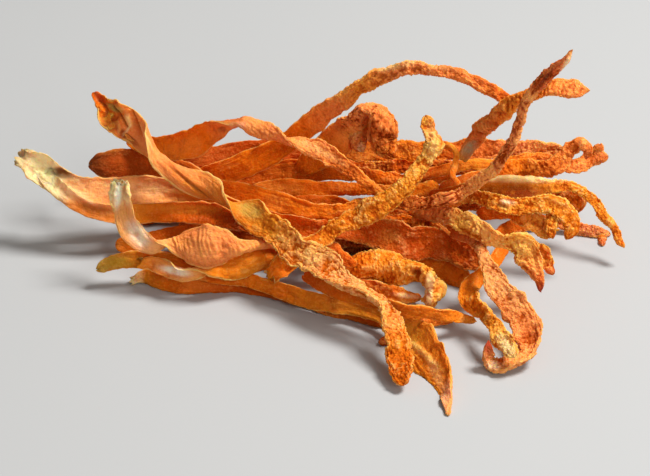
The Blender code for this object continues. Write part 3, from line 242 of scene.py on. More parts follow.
# Spots where a strand is torn, dented or another colour, and spots of painted highlight on lit rims and ridges
# and of painted shade in creases and hollows.  strand: column and row of the spot's middle in the reference view,
# (reach along, reach across) in pixels, turn in degrees, how far the skin stands out in millimetres, strength of
# the colour, colour.  A later spot lies over an earlier one of its strand.
PATCHES = {
    "forked_base_strand": (
        (38, 163, (20, 11), 38, 0.0, 0.9, (1.0, 0.86, 0.46)),
        (27, 151, (8, 4), 25, -0.3, 0.9, (0.42, 0.33, 0.18)),
        (20, 162, (5, 5), 25, 0.3, 0.9, (0.66, 0.54, 0.28)),
        (46, 174, (8, 5), 30, 0.2, 0.9, (1.0, 0.80, 0.36)),
        (125, 189, (50, 9), 0, 0.0, 0.85, (1.0, 0.60, 0.25)),
        (72, 162, (22, 4), 32, 0.2, 0.8, (0.90, 0.38, 0.14)),
        (105, 176, (34, 2), 2, 0.0, 0.7, (0.92, 0.42, 0.18)),
        (95, 213, (46, 8), 13, 0.0, 0.95, (0.58, 0.15, 0.012)),
        (205, 193, (38, 7), -4, 0.0, 0.7, (0.88, 0.27, 0.018)),
        # painted highlight: a sheen band along the lower lobe, and a lit line along its rim
        (190, 209, (44, 5), 2, 0.0, 0.6, (0.88, 0.34, 0.03)),
        (76, 194, (24, 2), 28, 0.15, 0.8, (0.95, 0.56, 0.28)),
        (62, 173, (11, 5), 15, -0.6, 1.0, (0.16, 0.06, 0.02)),
    ),
    "wrinkled_leaf_strand": (
        (113, 188, (4, 14), 8, 0.0, 0.9, (0.52, 0.46, 0.22)),
        # painted highlight on the leaf's cream base
        (118, 195, (3.2, 14), 6, -0.3, 1.0, (1.0, 0.97, 0.80)),
        (112, 206, (2, 7), 0, -0.4, 0.9, (0.26, 0.18, 0.07)),
        (127, 192, (3, 12), 0, 0.3, 0.9, (1.0, 0.66, 0.30)),
        (138, 234, (9, 16), -35, 0.0, 1.0, (1.0, 0.80, 0.58)),
    ),
    "diagonal_strand": (
        (114, 108, (10, 4), 20, 0.2, 0.95, (0.46, 0.36, 0.08)),
        # From here to the spot at column 146, row 137: the dark spots that dent the skin are painted shade in the
        # torn top's hollow, folds and creases, and the pale raised ones are painted highlight on its rims and
        # ridges.
        (110, 122, (7, 11), -15, -0.7, 0.9, (0.24, 0.05, 0.01)),
        (125, 137, (10, 4), 50, -0.6, 0.95, (0.18, 0.04, 0.01)),
        (129, 120, (3, 9), -20, 0.4, 0.9, (0.95, 0.56, 0.20)),
        (119, 128, (2, 7), -10, 0.4, 0.7, (0.86, 0.36, 0.10)),
        (137, 127, (3, 10), -25, -0.3, 0.6, (0.50, 0.13, 0.02)),
        (99, 98, (6, 3), 60, 0.0, 0.6, (0.50, 0.14, 0.06)),
        (121, 116, (15, 1.3), 58, -0.5, 0.95, (0.26, 0.07, 0.01)),
        (136, 120, (14, 1.2), 68, -0.5, 0.9, (0.40, 0.11, 0.01)),
        (107, 112, (10, 1.3), 70, -0.5, 0.9, (0.26, 0.05, 0.01)),
        (127, 131, (8, 1.2), 120, 0.3, 0.9, (0.98, 0.60, 0.28)),
        (132, 141, (9, 3), 40, -0.5, 0.8, (0.30, 0.06, 0.01)),
        (146, 137, (14, 1.6), 62, 0.1, 0.8, (0.98, 0.56, 0.20)),
        (196, 190, (32, 6), 38, 0.0, 0.8, (0.74, 0.21, 0.012)),
        # painted shade in a crease
        (186, 180, (30, 1.8), 40, -0.3, 0.9, (0.34, 0.08, 0.01)),
        (250, 210, (14, 8), 20, 0.0, 0.85, (0.55, 0.38, 0.08)),
    ),
    "tall_pointed_strand": (
        (96, 164, (12, 12), 0, 0.0, 0.85, (0.24, 0.05, 0.010)),
        (125, 165, (26, 10), 0, 0.0, 0.7, (0.44, 0.08, 0.006)),
        (543, 81, (14, 2.4), 128, -0.35, 1.0, (0.13, 0.010, 0.008)),
        (564, 68, (16, 2.2), 116, 0.1, 1.0, (1.0, 0.72, 0.42)),
        # painted highlights along the lit right edge of the twist
        (528, 99, (5, 3), -60, 0.2, 0.6, (1.0, 0.46, 0.16)),
        (525, 111, (6, 2.4), -75, 0.2, 0.6, (1.0, 0.46, 0.16)),
        (522, 124, (6, 2.4), -75, 0.2, 0.6, (1.0, 0.46, 0.16)),
        (517, 139, (7, 2.4), -70, 0.2, 0.6, (1.0, 0.44, 0.14)),
        (508, 156, (7, 2.4), -60, 0.2, 0.6, (1.0, 0.44, 0.14)),
        (490, 172, (9, 3), -45, 0.2, 0.6, (1.0, 0.42, 0.12)),
        (470, 186, (12, 3), -35, 0.1, 0.6, (1.0, 0.40, 0.11)),
        # painted shade in the twist's creases
        (521, 106, (9, 2), 60, -0.5, 0.9, (0.40, 0.04, 0.008)),
        (516, 118, (9, 2), 60, -0.5, 0.9, (0.42, 0.05, 0.008)),
        (513, 131, (9, 2), 65, -0.5, 0.9, (0.42, 0.05, 0.008)),
        (506, 147, (9, 2), 70, -0.5, 0.9, (0.46, 0.06, 0.008)),
        (494, 163, (9, 2), 75, -0.5, 0.9, (0.46, 0.06, 0.008)),
    ),
    "tall_arch_strand": (
        # painted highlights along the arch's upper edge
        (396, 66, (24, 4), -14, 0.1, 0.85, (1.0, 0.60, 0.22)),
        (348, 88, (42, 4), -34, 0.1, 0.6, (1.0, 0.38, 0.06)),
        (440, 68, (26, 3), 8, 0.1, 0.6, (1.0, 0.44, 0.14)),
    ),
    "ribbed_strand": (
        (490, 118, (24, 4), -45, 0.1, 0.6, (1.0, 0.42, 0.10)),
        # painted shade in the creases between the ribs
        (481, 134, (8, 2), 15, -0.5, 0.9, (0.56, 0.09, 0.01)),
        (491, 124, (8, 2), 15, -0.5, 0.9, (0.56, 0.09, 0.01)),
        (501, 114, (8, 2), 15, -0.5, 0.9, (0.56, 0.09, 0.01)),
        (470, 149, (10, 7), -50, -0.3, 1.0, (0.48, 0.45, 0.27)),
    ),
    "forked_tip_strand": (
        (476, 221, (20, 7), 35, 0.0, 0.75, (1.0, 0.50, 0.12)),
        (524, 250, (18, 9), 42, 0.0, 0.65, (1.0, 0.48, 0.11)),
        (540, 288, (5, 7), 0, 0.0, 0.9, (0.40, 0.04, 0.035)),
        (536, 262, (2, 12), -10, -0.4, 0.5, (0.50, 0.12, 0.01)),
    ),
    "hook_tip_strand": (
        (508, 202, (8, 3), 8, 0.0, 0.9, (0.92, 0.74, 0.48)),
        (502, 206, (7, 2), 20, -0.5, 0.9, (0.20, 0.07, 0.02)),
        (559, 226, (2, 10), 0, -0.3, 0.7, (0.30, 0.06, 0.01)),
    ),
    "drooping_strand": (
        # painted highlight on the upper rim, and painted shade in the hollow of the cup below it
        (520, 179, (48, 4), 1, 0.2, 1.0, (1.0, 0.74, 0.32)),
        (512, 193, (42, 8), 0, -0.2, 1.0, (0.24, 0.03, 0.001)),
    ),
    "front_curl_strand": (
        (494, 365, (8, 5), 0, 0.0, 0.95, (1.0, 0.72, 0.42)),
        (488, 345, (4, 9), 0, 0.0, 0.9, (0.42, 0.05, 0.03)),
    ),
    "pale_tip_strand": (
        (507, 347, (15, 6), 55, 0.0, 0.95, (0.95, 0.76, 0.36)),
    ),
    "leaf_tip_strand": (
        (446, 396, (6, 16), 8, 0.0, 0.8, (0.95, 0.44, 0.22)),
        (411, 336, (9, 18), -22, 0.0, 0.8, (0.62, 0.24, 0.02)),
        (441, 352, (26, 5), 60, 0.0, 0.7, (0.70, 0.15, 0.01)),
        # painted highlight on the middle ridge
        (424, 354, (24, 3.5), 42, 0.25, 0.9, (1.0, 0.60, 0.16)),
        (436, 374, (5, 16), -25, 0.0, 0.6, (1.0, 0.52, 0.18)),
        (116, 262, (16, 6), 0, 0.0, 0.8, (0.50, 0.27, 0.02)),
        (101, 268, (6, 5), 0, 0.0, 0.9, (0.30, 0.17, 0.02)),
    ),
    "pale_cup_strand": (
        # painted highlight
        (175, 271, (16, 4), 12, 0.0, 0.95, (1.0, 0.82, 0.62)),
        (429, 290, (4, 16), 3, 0.2, 0.95, (1.0, 0.76, 0.42)),
        # painted shade in two dark hollows
        (416, 272, (6, 4), 20, -0.6, 0.85, (0.30, 0.05, 0.01)),
        (438, 278, (3, 8), 0, -0.4, 0.8, (0.42, 0.07, 0.01)),
    ),
    "under_ribbon_strand": (
        # painted highlight
        (408, 296, (14, 2.5), 8, 0.0, 0.9, (1.0, 0.70, 0.36)),
    ),
    "loop_over_strand": (
        (238, 126, (9, 4), 0, 0.2, 0.8, (0.88, 0.38, 0.22)),
        (222, 130, (5, 3), 0, -0.3, 0.8, (0.30, 0.07, 0.02)),
        (322, 152, (30, 4), 28, 0.0, 0.6, (0.95, 0.52, 0.18)),
    ),
    "folded_top_strand": (
        (361, 149, (4, 7), 0, 0.0, 0.9, (1.0, 0.66, 0.32)),
        (369, 140, (2.5, 12), 0, -0.5, 0.8, (0.30, 0.05, 0.006)),
    ),
    "upright_strand": (
        # painted highlight on the strand's front
        (432, 140, (7, 24), 0, 0.0, 0.75, (1.0, 0.62, 0.20)),
        (424, 121, (4, 5), 0, -0.2, 0.6, (0.70, 0.30, 0.04)),
    ),
}

# name: (thickness at base and tip in mm, cup depth at base and tip in mm, stations, a branch's stations)
STRANDS = {
    "diagonal_strand": ((1.2, 1.6), (1.2, 0.3),
        [(94, 93, 27.5, 1.2), (103, 103, 27, 2.4, 10), (118, 118, 26, 5.8, 20), (137, 131, 23.5, 6.2, 35),
         (153, 153, 21, 5.0, 75), (172, 170, 19.5, 4.5, 130), (195, 183, 18, 4.7, 175),
         (213, 190, 17, 4.6, 215), (226, 200, 16, 4.6, 260), (248, 212, 14.8, 5.0, 340),
         (270, 228, 13.4, 4.6, 375), (295, 248, 11.6, 5.0, 360), (322, 264, 9.8, 5.0, 350),
         (348, 283, 8.2, 3.8, 310), (368, 294, 7.4, 2.8, 290), (382, 305, 6.4, 2.2, 310),
         (394, 325, 5.2, 3.6, 340), (400, 345, 3.8, 3.8, 360), (402, 368, 2.0, 3.6, 380),
         (404, 384, 1.2, 2.6, 380)]),
    "leaf_tip_strand": ((1.5, 1.1), (0.5, 0.8),
        [(98, 269, 1.6, 1.8), (110, 264, 2.0, 2.4), (135, 259, 2.6, 3.2, 20), (170, 262, 2.6, 4.0, 30),
         (210, 274, 2.0, 3.0, 10), (250, 281, 2.0, 2.4), (285, 292, 2.2, 2.8), (315, 301, 2.4, 3.0),
         (345, 305, 2.6, 3.0), (374, 311, 3.0, 3.0), (396, 320, 3.6, 4.4, 10), (413, 337, 3.8, 6.4, 10),
         (428, 356, 3.2, 6.6, 15), (440, 376, 2.0, 4.4, 25), (447, 395, 1.3, 2.2, 30), (448, 415, 1.0, 0.8)]),
    "front_low_strand": ((1.6, 1.2), (0.2, 0.2),
        [(132, 281, 1.2, 0.9), (143, 277, 1.6, 2.4), (160, 281, 1.8, 3.0), (180, 285, 1.8, 3.2),
         (205, 287, 1.6, 2.4), (240, 287, 1.5, 2.0), (275, 294, 1.4, 2.0), (315, 305, 1.3, 2.2),
         (352, 315, 1.3, 2.2), (382, 322, 1.3, 2.2), (410, 322, 1.4, 2.2), (435, 320, 1.5, 2.0),
         (454, 320, 1.6, 1.0)]),
    "long_low_strand": ((1.2, 1.4), (0.8, 0.2),
        [(304, 275, 3.6, 1.6), (317, 280, 4.0, 3.2, 10), (332, 287, 4.6, 3.6, 20), (350, 293, 5.2, 3.0, 20),
         (376, 302, 5.8, 2.6, 20), (405, 310, 6.0, 2.5, 20), (435, 313, 4.8, 2.2, 20), (458, 317, 3.2, 1.8),
         (475, 321, 1.8, 1.1)]),
    "pale_cup_strand": ((1.1, 1.6), (1.2, 0.8),
        [(141, 263, 4.6, 1.6), (155, 264, 4.8, 2.4, 10), (172, 270, 4.4, 2.8, 30), (190, 274, 4.2, 2.6, 60),
         (203, 272, 4.4, 2.8, 100), (222, 269, 4.6, 4.2, 150), (245, 264, 5.0, 4.6, 180),
         (268, 257, 5.4, 4.0, 190), (290, 252, 5.6, 3.4, 190), (315, 255, 5.2, 3.4, 180),
         (340, 263, 4.6, 3.8, 180), (362, 268, 4.4, 4.8, 180), (385, 268, 4.4, 5.2, 190),
         (405, 271, 4.6, 4.4, 170), (421, 272, 5.6, 3.2, 150), (432, 279, 6.0, 2.6, 180),
         (434, 290, 4.0, 3.2, 200), (428, 303, 1.8, 2.8, 200)]),
    "wrinkled_leaf_strand": ((1.3, 1.2), (1.3, 0.4),
        [(119, 182, 17.5, 3.0), (121, 193, 15.6, 4.0, 10), (124, 209, 13.2, 3.8, 20), (131, 228, 10.4, 4.2, 10),
         (143, 241, 8.6, 3.8, 10), (157, 246, 8.0, 3.0, 50), (168, 244, 8.0, 3.0, 100),
         (182, 243, 8.2, 5.2, 160), (202, 246, 8.4, 7.0, 180), (222, 247, 8.4, 6.0, 190),
         (238, 248, 8.2, 3.4, 215), (256, 245, 8.2, 2.0, 190), (278, 242, 8.4, 2.4, 180),
         (302, 245, 8.4, 2.8, 180), (325, 249, 8.0, 3.2, 180), (343, 258, 7.0, 2.4, 180),
         (356, 265, 6.2, 1.4, 180)]),
    "forked_base_strand": ((2.2, 1.4), (2.0, 0.8),
        [(20, 156, 19.6, 3.2), (34, 164, 18.2, 4.8), (54, 178, 16.0, 5.2), (78, 190, 13.6, 5.2),
         (105, 193, 12.4, 5.4), (140, 190, 11.8, 5.2), (175, 192, 11.4, 4.6, 10), (210, 201, 11.0, 4.2, 20),
         (245, 214, 10.2, 4.0, 10), (280, 225, 9.6, 3.8), (315, 230, 9.2, 3.6), (345, 229, 9.0, 3.6, -10),
         (375, 234, 8.8, 5.0), (402, 240, 8.8, 6.0), (428, 243, 8.4, 5.6, 10), (450, 250, 7.4, 5.0, 10),
         (470, 257, 6.6, 4.6), (486, 266, 6.0, 2.6)],
        [(44, 172, 16.8, 3.4), (60, 190, 14.6, 3.0), (82, 206, 12.0, 3.0), (105, 213, 10.6, 3.2),
         (138, 213, 9.8, 3.4), (175, 212, 9.4, 3.6), (215, 215, 9.4, 3.6), (240, 223, 9.2, 2.8),
         (262, 233, 8.8, 2.4), (280, 239, 8.4, 1.4)]),
    "tall_pointed_strand": ((2.2, 1.6), (0.4, 0.2),
        [(90, 165, 9.5, 3.2), (108, 165, 9.8, 5.4), (140, 163, 10.0, 5.8), (175, 171, 10.2, 5.2),
         (212, 188, 10.6, 4.4), (250, 196, 11.0, 4.4), (285, 205, 11.2, 4.2), (315, 212, 11.4, 3.4),
         (340, 211, 11.8, 2.6), (370, 203, 12.2, 2.6), (405, 203, 12.6, 2.8), (435, 203, 13.4, 2.6),
         (460, 193, 15.4, 2.4), (482, 179, 18.4, 2.2), (500, 163, 21.6, 2.0), (512, 143, 25.6, 1.9),
         (519, 125, 29.4, 1.7), (526, 105, 33.2, 1.6), (537, 86, 37.0, 1.9, 20), (553, 70, 40.4, 1.9, 50),
         (566, 57, 43.2, 1.0, 60), (572, 50, 44.6, 0.5, 60)]),
    "loop_over_strand": ((1.2, 1.2), (0.8, 0.3),
        [(128, 141, 12.5, 1.6), (145, 146, 13.0, 3.4), (168, 148, 14.5, 4.6), (192, 143, 17.5, 5.2),
         (212, 131, 21.0, 4.2, 10), (228, 124, 23.6, 2.8, 60), (244, 122, 25.0, 3.0, 130),
         (262, 130, 25.0, 3.4, 180), (286, 138, 24.4, 3.2, 270), (312, 147, 23.4, 3.4, 340),
         (336, 159, 22.0, 3.0, 360), (356, 173, 20.6, 2.2, 360), (373, 188, 19.2, 1.7, 360),
         (387, 198, 18.4, 1.0, 360)]),
    "tall_arch_strand": ((1.5, 1.8), (0.5, 0.1),
        [(178, 186, 8.6, 2.8), (205, 178, 10.1, 4.0), (235, 168, 12.8, 4.4), (265, 156, 15.8, 4.2),
         (292, 139, 19.4, 3.8, 10), (315, 120, 23.4, 3.8, 10), (338, 103, 27.2, 3.3, 20),
         (362, 88, 30.8, 2.8, 20), (385, 74, 33.8, 2.5, 10), (408, 68, 35.4, 2.4), (435, 70, 35.6, 2.1),
         (462, 76, 35.2, 2.0), (485, 87, 33.6, 2.2), (503, 96, 31.8, 1.9), (514, 101, 30.6, 1.3)]),
    "ribbed_strand": ((1.8, 1.8), (0.2, 0.2),
        [(463, 159, 15.2, 1.5), (466, 153, 17.0, 2.4), (473, 142, 19.8, 2.8), (485, 127, 24.4, 3.0),
         (500, 113, 28.9, 2.9), (514, 102, 32.0, 2.6), (530, 95, 33.8, 2.4), (546, 90, 34.6, 2.4),
         (562, 88, 34.8, 2.7), (575, 90, 34.4, 3.0), (583, 90, 34.2, 1.6), (589, 90, 34.2, 0.8)]),
    "rear_long_strand": ((1.6, 1.4), (0.4, 0.4),
        [(300, 160, 8.8, 3.0), (335, 152, 10.0, 3.6), (370, 151, 10.6, 3.8), (405, 151, 11.0, 3.8),
         (440, 151, 11.4, 3.6), (475, 149, 11.8, 3.4), (505, 148, 12.2, 3.2, 10), (530, 148, 12.4, 3.0),
         (548, 149, 12.6, 2.4, 20), (566, 150, 12.6, 1.0)]),
    "folded_top_strand": ((1.6, 2.2), (0.6, 0.3),
        [(300, 172, 11.0, 3.0), (320, 155, 14.5, 4.8), (339, 139, 18.6, 5.6, 10), (355, 123, 22.2, 5.2, 30),
         (365, 111, 25.0, 4.4, 70), (379, 112, 25.6, 4.4, 120), (383, 125, 24.0, 5.0, 170),
         (381, 138, 21.6, 4.8, 180), (385, 149, 19.8, 3.6, 190), (393, 158, 18.6, 1.8, 180)],
        [(362, 114, 24.0, 2.2), (360, 127, 21.6, 3.0), (359, 140, 19.6, 3.0), (362, 152, 18.2, 1.4)]),
    "thin_hook_strand": ((1.1, 0.9), (0.0, 0.0),
        [(424, 158, 16.5, 1.0), (436, 149, 18.5, 1.1), (448, 146, 19.6, 1.1), (456, 153, 19.4, 1.2),
         (455, 165, 18.6, 1.2), (453, 176, 18.0, 1.1), (459, 184, 17.6, 1.0)]),
    "saddle_strand": ((1.4, 1.6), (0.8, 0.2),
        [(420, 175, 13.0, 2.0), (445, 170, 14.0, 2.2), (470, 164, 15.0, 2.2), (490, 165, 15.0, 2.4),
         (515, 162, 14.6, 2.8), (540, 161, 14.2, 3.2), (560, 166, 13.8, 2.9), (580, 165, 13.8, 2.8),
         (596, 158, 14.2, 2.6), (608, 157, 14.4, 1.6)],
        [(594, 159, 14.2, 1.8), (598, 152, 15.4, 1.9), (600, 145, 16.8, 1.3)]),
    "right_curl_strand": ((1.6, 1.4), (0.3, 0.1),
        [(440, 190, 11.5, 2.0), (470, 181, 12.6, 2.4), (500, 173, 13.8, 2.8), (528, 169, 15.0, 2.8),
         (550, 168, 16.0, 3.0, 10), (562, 158, 17.6, 2.8, 10), (571, 148, 19.4, 2.4), (581, 143, 20.4, 2.0),
         (588, 149, 19.4, 1.9), (587, 158, 17.8, 1.2)]),
    "drooping_strand": ((1.2, 1.5), (1.3, 0.2),
        [(430, 196, 10.8, 2.2), (455, 194, 12.6, 2.8), (480, 191, 14.4, 3.6), (505, 188, 15.6, 4.0, -10),
         (530, 188, 15.8, 3.8), (550, 187, 15.4, 2.6, 10), (568, 187, 14.8, 1.8), (583, 192, 13.6, 1.7),
         (594, 203, 12.0, 1.9), (602, 215, 10.4, 1.7), (612, 225, 9.0, 1.6), (618, 237, 7.4, 1.6),
         (623, 247, 6.2, 1.2)]),
    "ring_tip_strand": ((1.4, 1.3), (0.2, 0.1),
        [(480, 205, 9.6, 2.0), (510, 203, 11.0, 2.4), (535, 202, 13.0, 2.2), (550, 197, 14.6, 2.6, 10),
         (563, 192, 15.4, 3.0, 10), (573, 195, 14.8, 3.2, 10), (576, 203, 13.4, 3.0, 10),
         (569, 209, 12.2, 2.4, 10), (560, 209, 11.6, 1.3)]),
    "hook_tip_strand": ((1.6, 1.5), (0.6, 0.6),
        [(445, 206, 11.6, 2.0), (468, 197, 13.8, 2.0), (486, 200, 14.6, 2.2), (505, 206, 14.6, 2.6),
         (525, 207, 14.6, 3.2), (543, 206, 14.6, 3.2), (557, 209, 14.0, 3.0), (567, 217, 12.8, 2.8),
         (571, 228, 11.2, 2.5), (567, 239, 9.6, 1.4)],
        [(550, 209, 14.2, 2.0), (553, 219, 12.8, 2.3), (549, 229, 11.2, 2.2), (552, 238, 9.8, 1.1)]),
    "hanging_leaf_strand": ((1.2, 1.0), (0.5, 0.4),
        [(478, 214, 11.0, 2.2), (498, 211, 12.2, 2.8), (514, 211, 13.0, 3.2), (529, 217, 12.6, 3.6),
         (540, 227, 11.0, 3.0), (548, 238, 9.0, 1.4)]),
    "rear_table_strand": ((1.3, 1.3), (0.3, 0.3),
        [(470, 247, 1.6, 2.0), (492, 238, 2.0, 1.8), (512, 226, 2.6, 2.6), (532, 220, 3.0, 2.4),
         (556, 222, 2.8, 2.2), (578, 228, 2.2, 2.4), (597, 232, 1.6, 2.0), (610, 234, 1.2, 1.1)],
        [(592, 231, 1.7, 1.8), (600, 237, 1.4, 1.5), (602, 245, 1.0, 1.1)]),
    "forked_tip_strand": ((1.6, 1.8), (0.3, 0.5),
        [(415, 213, 10.6, 2.2), (438, 214, 12.0, 2.4), (456, 219, 13.2, 3.0), (474, 228, 13.6, 3.6),
         (490, 236, 13.2, 3.0, 20), (503, 241, 12.6, 2.2, 30), (514, 243, 12.4, 3.2, 20), (525, 250, 11.4, 5.0),
         (532, 263, 9.4, 3.6), (537, 277, 7.2, 2.0), (541, 291, 5.0, 0.9)],
        [(524, 245, 11.8, 2.8), (541, 251, 10.6, 3.2), (548, 262, 8.8, 2.3), (553, 274, 7.4, 1.1)]),
    "front_curl_strand": ((1.6, 1.3), (0.4, 0.9),
        [(452, 232, 9.8, 1.8), (470, 240, 11.0, 1.8), (482, 251, 11.6, 1.8), (488, 265, 11.2, 2.0),
         (494, 279, 10.0, 3.6), (504, 294, 8.4, 4.4), (515, 310, 6.6, 4.8), (525, 326, 5.0, 4.8),
         (530, 341, 3.8, 4.4, 20), (526, 354, 2.8, 3.4, 40), (515, 362, 2.2, 2.8, 50), (502, 366, 1.9, 2.8, 50),
         (490, 362, 2.2, 2.4, 40), (487, 352, 3.8, 1.8, 20), (489, 341, 5.4, 0.6)]),
    "pale_tip_strand": ((1.2, 1.1), (0.4, 0.3),
        [(505, 246, 8.6, 2.4), (494, 262, 7.4, 2.4), (480, 277, 6.2, 2.6), (470, 292, 5.6, 3.4, 20),
         (474, 306, 5.4, 3.4, 30), (485, 313, 5.4, 2.6, 30), (493, 322, 5.4, 2.2, 20), (498, 334, 5.0, 2.8),
         (506, 346, 4.6, 3.0), (515, 357, 4.2, 2.2)]),
    "saddle_ribbon": ((1.2, 1.1), (0.6, 0.6),
        [(385, 246, 5.6, 2.6), (408, 254, 5.6, 3.0), (430, 263, 5.4, 3.4), (450, 272, 5.0, 4.4),
         (465, 281, 4.4, 3.6, 20), (474, 292, 3.4, 1.8, 30)]),
    "red_strand": ((1.3, 1.3), (0.4, 0.4),
        [(240, 205, 8.4, 1.8), (265, 212, 9.0, 1.8), (290, 219, 9.2, 1.8), (320, 222, 9.4, 1.8),
         (350, 221, 9.4, 2.4), (378, 222, 9.4, 3.0), (405, 224, 9.6, 3.4), (430, 228, 9.4, 3.2),
         (448, 238, 8.8, 2.6), (462, 250, 8.0, 1.4)]),
    "upright_strand": ((1.2, 2.0), (0.8, 0.1),
        [(270, 277, 5.0, 2.2), (278, 269, 6.2, 3.6, 10), (289, 260, 7.4, 3.9, 25), (303, 249, 9.0, 3.0),
         (325, 234, 11.4, 2.8), (348, 221, 13.8, 3.2), (372, 210, 16.2, 3.6), (392, 198, 18.4, 3.2),
         (408, 184, 20.8, 3.2), (419, 169, 23.2, 2.8), (428, 156, 25.2, 2.4), (433, 144, 27.0, 3.0),
         (431, 131, 29.0, 2.2), (427, 121, 30.2, 2.6), (425, 116, 30.9, 1.4)]),
    "rear_left_strand": ((1.5, 1.3), (0.4, 0.4),
        [(165, 162, 9.0, 2.8), (195, 158, 10.6, 3.6), (225, 154, 11.4, 3.8), (252, 150, 12.0, 3.4),
         (280, 151, 12.0, 3.4), (310, 158, 11.4, 3.0), (335, 165, 11.0, 3.0), (365, 168, 11.0, 2.8),
         (395, 167, 11.4, 2.6), (425, 166, 11.4, 2.4), (455, 168, 11.0, 2.2), (480, 171, 10.6, 1.4)]),
    "mid_rear_strand_a": ((1.4, 1.3), (0.5, 0.3),
        [(225, 189, 7.0, 2.6), (255, 177, 9.0, 3.6), (285, 171, 10.4, 4.2), (318, 171, 11.6, 3.9),
         (345, 173, 11.8, 2.6), (372, 178, 12.0, 2.8), (400, 180, 12.2, 2.8), (430, 180, 12.2, 2.4),
         (455, 176, 12.4, 1.4)]),
    "mid_rear_strand_b": ((1.4, 1.3), (0.4, 0.3),
        [(235, 200, 6.0, 2.4), (262, 192, 7.6, 3.2), (290, 188, 8.8, 3.6), (320, 189, 9.6, 3.0),
         (350, 189, 10.2, 2.2), (380, 191, 10.6, 2.2), (410, 191, 11.0, 2.6), (440, 187, 11.0, 2.0)]),
    "mid_rear_strand_c": ((1.4, 1.2), (0.5, 0.4),
        [(270, 210, 6.0, 2.6), (300, 204, 7.0, 3.0), (328, 202, 7.6, 2.6), (355, 209, 8.0, 2.4),
         (385, 212, 8.2, 2.4), (415, 214, 8.4, 2.2), (440, 222, 8.0, 1.6)]),
    "lobe_base_strand": ((1.6, 1.3), (0.5, 0.4),
        [(117, 243, 4.2, 2.2), (130, 246, 4.4, 3.2), (150, 240, 5.0, 2.8), (172, 233, 5.4, 2.4),
         (195, 229, 5.6, 2.4), (225, 230, 5.6, 2.6), (260, 236, 5.4, 2.6), (295, 238, 5.4, 2.6),
         (330, 240, 5.2, 2.6), (362, 240, 5.2, 2.4), (395, 246, 4.6, 2.2), (420, 250, 4.2, 1.3)]),
    "under_ribbon_strand": ((1.2, 1.1), (0.8, 0.6),
        [(330, 280, 2.0, 2.2), (352, 286, 2.0, 2.8), (376, 290, 2.0, 3.2), (400, 295, 1.8, 2.6),
         (420, 298, 1.5, 1.6)]),
    "tucked_tip_strand": ((1.3, 1.2), (0.2, 0.2),
        [(424, 331, 1.0, 1.2), (410, 334, 1.1, 1.8), (395, 339, 1.2, 2.0), (380, 342, 1.2, 1.4)]),
    "rear_floor_strand_a": ((1.6, 1.4), (0.4, 0.3),
        [(140, 220, 1.4, 2.2, 60), (190, 214, 1.5, 2.8, 40), (250, 212, 1.5, 3.0, 60), (310, 210, 1.5, 2.8, 90),
         (370, 213, 1.5, 2.6, 60), (420, 217, 1.5, 2.2, 40), (450, 214, 1.4, 1.4, 40)]),
    "rear_floor_strand_b": ((1.6, 1.4), (0.4, 0.3),
        [(170, 236, 1.5, 2.0, 60), (230, 232, 1.6, 2.8, 60), (300, 230, 1.6, 3.0, 60), (350, 229, 1.6, 2.8, 40),
         (400, 234, 1.5, 2.4, 60), (432, 240, 1.4, 1.4, 60)]),
    "rear_floor_strand_c": ((1.5, 1.4), (0.4, 0.3),
        [(190, 257, 1.4, 1.8, 60), (240, 254, 1.6, 2.6, 60), (300, 251, 1.6, 2.8, 50), (345, 248, 1.5, 2.8, 40),
         (385, 250, 1.4, 2.2, 40), (410, 254, 1.2, 1.2, 40)]),
    "rear_mid_strand_a": ((1.5, 1.3), (0.5, 0.3),
        [(150, 207, 5.0, 2.2, 30), (200, 203, 5.4, 2.8, 50), (260, 206, 5.2, 3.0, 60), (310, 211, 5.0, 2.8, 40),
         (355, 214, 5.0, 2.6, 60), (400, 211, 4.8, 2.6, 40), (440, 208, 4.2, 2.8, 30), (480, 207, 3.8, 1.4, 30)]),
    "rear_mid_strand_b": ((1.5, 1.3), (0.4, 0.3),
        [(180, 223, 4.8, 2.2, 60), (240, 223, 5.0, 2.8, 60), (300, 225, 5.0, 3.0, 60), (350, 227, 5.0, 2.6, 60),
         (400, 227, 4.8, 2.6, 40), (438, 226, 4.2, 2.8, 30), (462, 228, 3.8, 1.4, 30)]),
    "rear_right_strand": ((1.5, 1.3), (0.4, 0.3),
        [(400, 200, 1.6, 2.0, 60), (440, 198, 2.2, 2.6, 60), (480, 196, 2.6, 2.6, 60), (515, 196, 2.0, 2.2, 60),
         (545, 199, 1.4, 1.2, 60)]),
}


def sighted(columns, rows, heights):
    """Points at the given heights, in metres, on the sight lines through the view's pixels."""
    reach = VIEW_DISTANCE / MM * VIEW_SCALE  # the picture's distance from the eye, in pixels
    across = columns - VIEW_COLUMNS / 2
    up = VIEW_ROWS / 2 - rows
    ray = np.outer(across, [1.0, 0.0, 0.0]) + np.outer(up, VIEW_UP) - reach * TO_VIEWER
    travel = (heights - EYE[2]) / ray[:, 2]
    return EYE + ray * travel[:, None]


def sight(points):
    """Unit directions from the points to the viewer's eye."""
    ways = EYE - points
    return ways / np.linalg.norm(ways, axis=-1)[..., None]


def through(knots, values, places):
    """Cubic Hermite curve through values at knots, with slopes from the neighbouring knots."""
    slopes = np.gradient(values, knots, axis=0)
    i = np.clip(np.searchsorted(knots, places, side="right") - 1, 0, len(knots) - 2)
    step = knots[i + 1] - knots[i]
    f = (places - knots[i]) / step
    shape = (slice(None),) + (None,) * (values.ndim - 1)
    f, step = f[shape], step[shape]
    rise, fall = f * f * (3 - 2 * f), f * (1 - f)
    return (values[i] * (1 - rise) + values[i + 1] * rise
            + step * fall * ((1 - f) * slopes[i] - f * slopes[i + 1]))


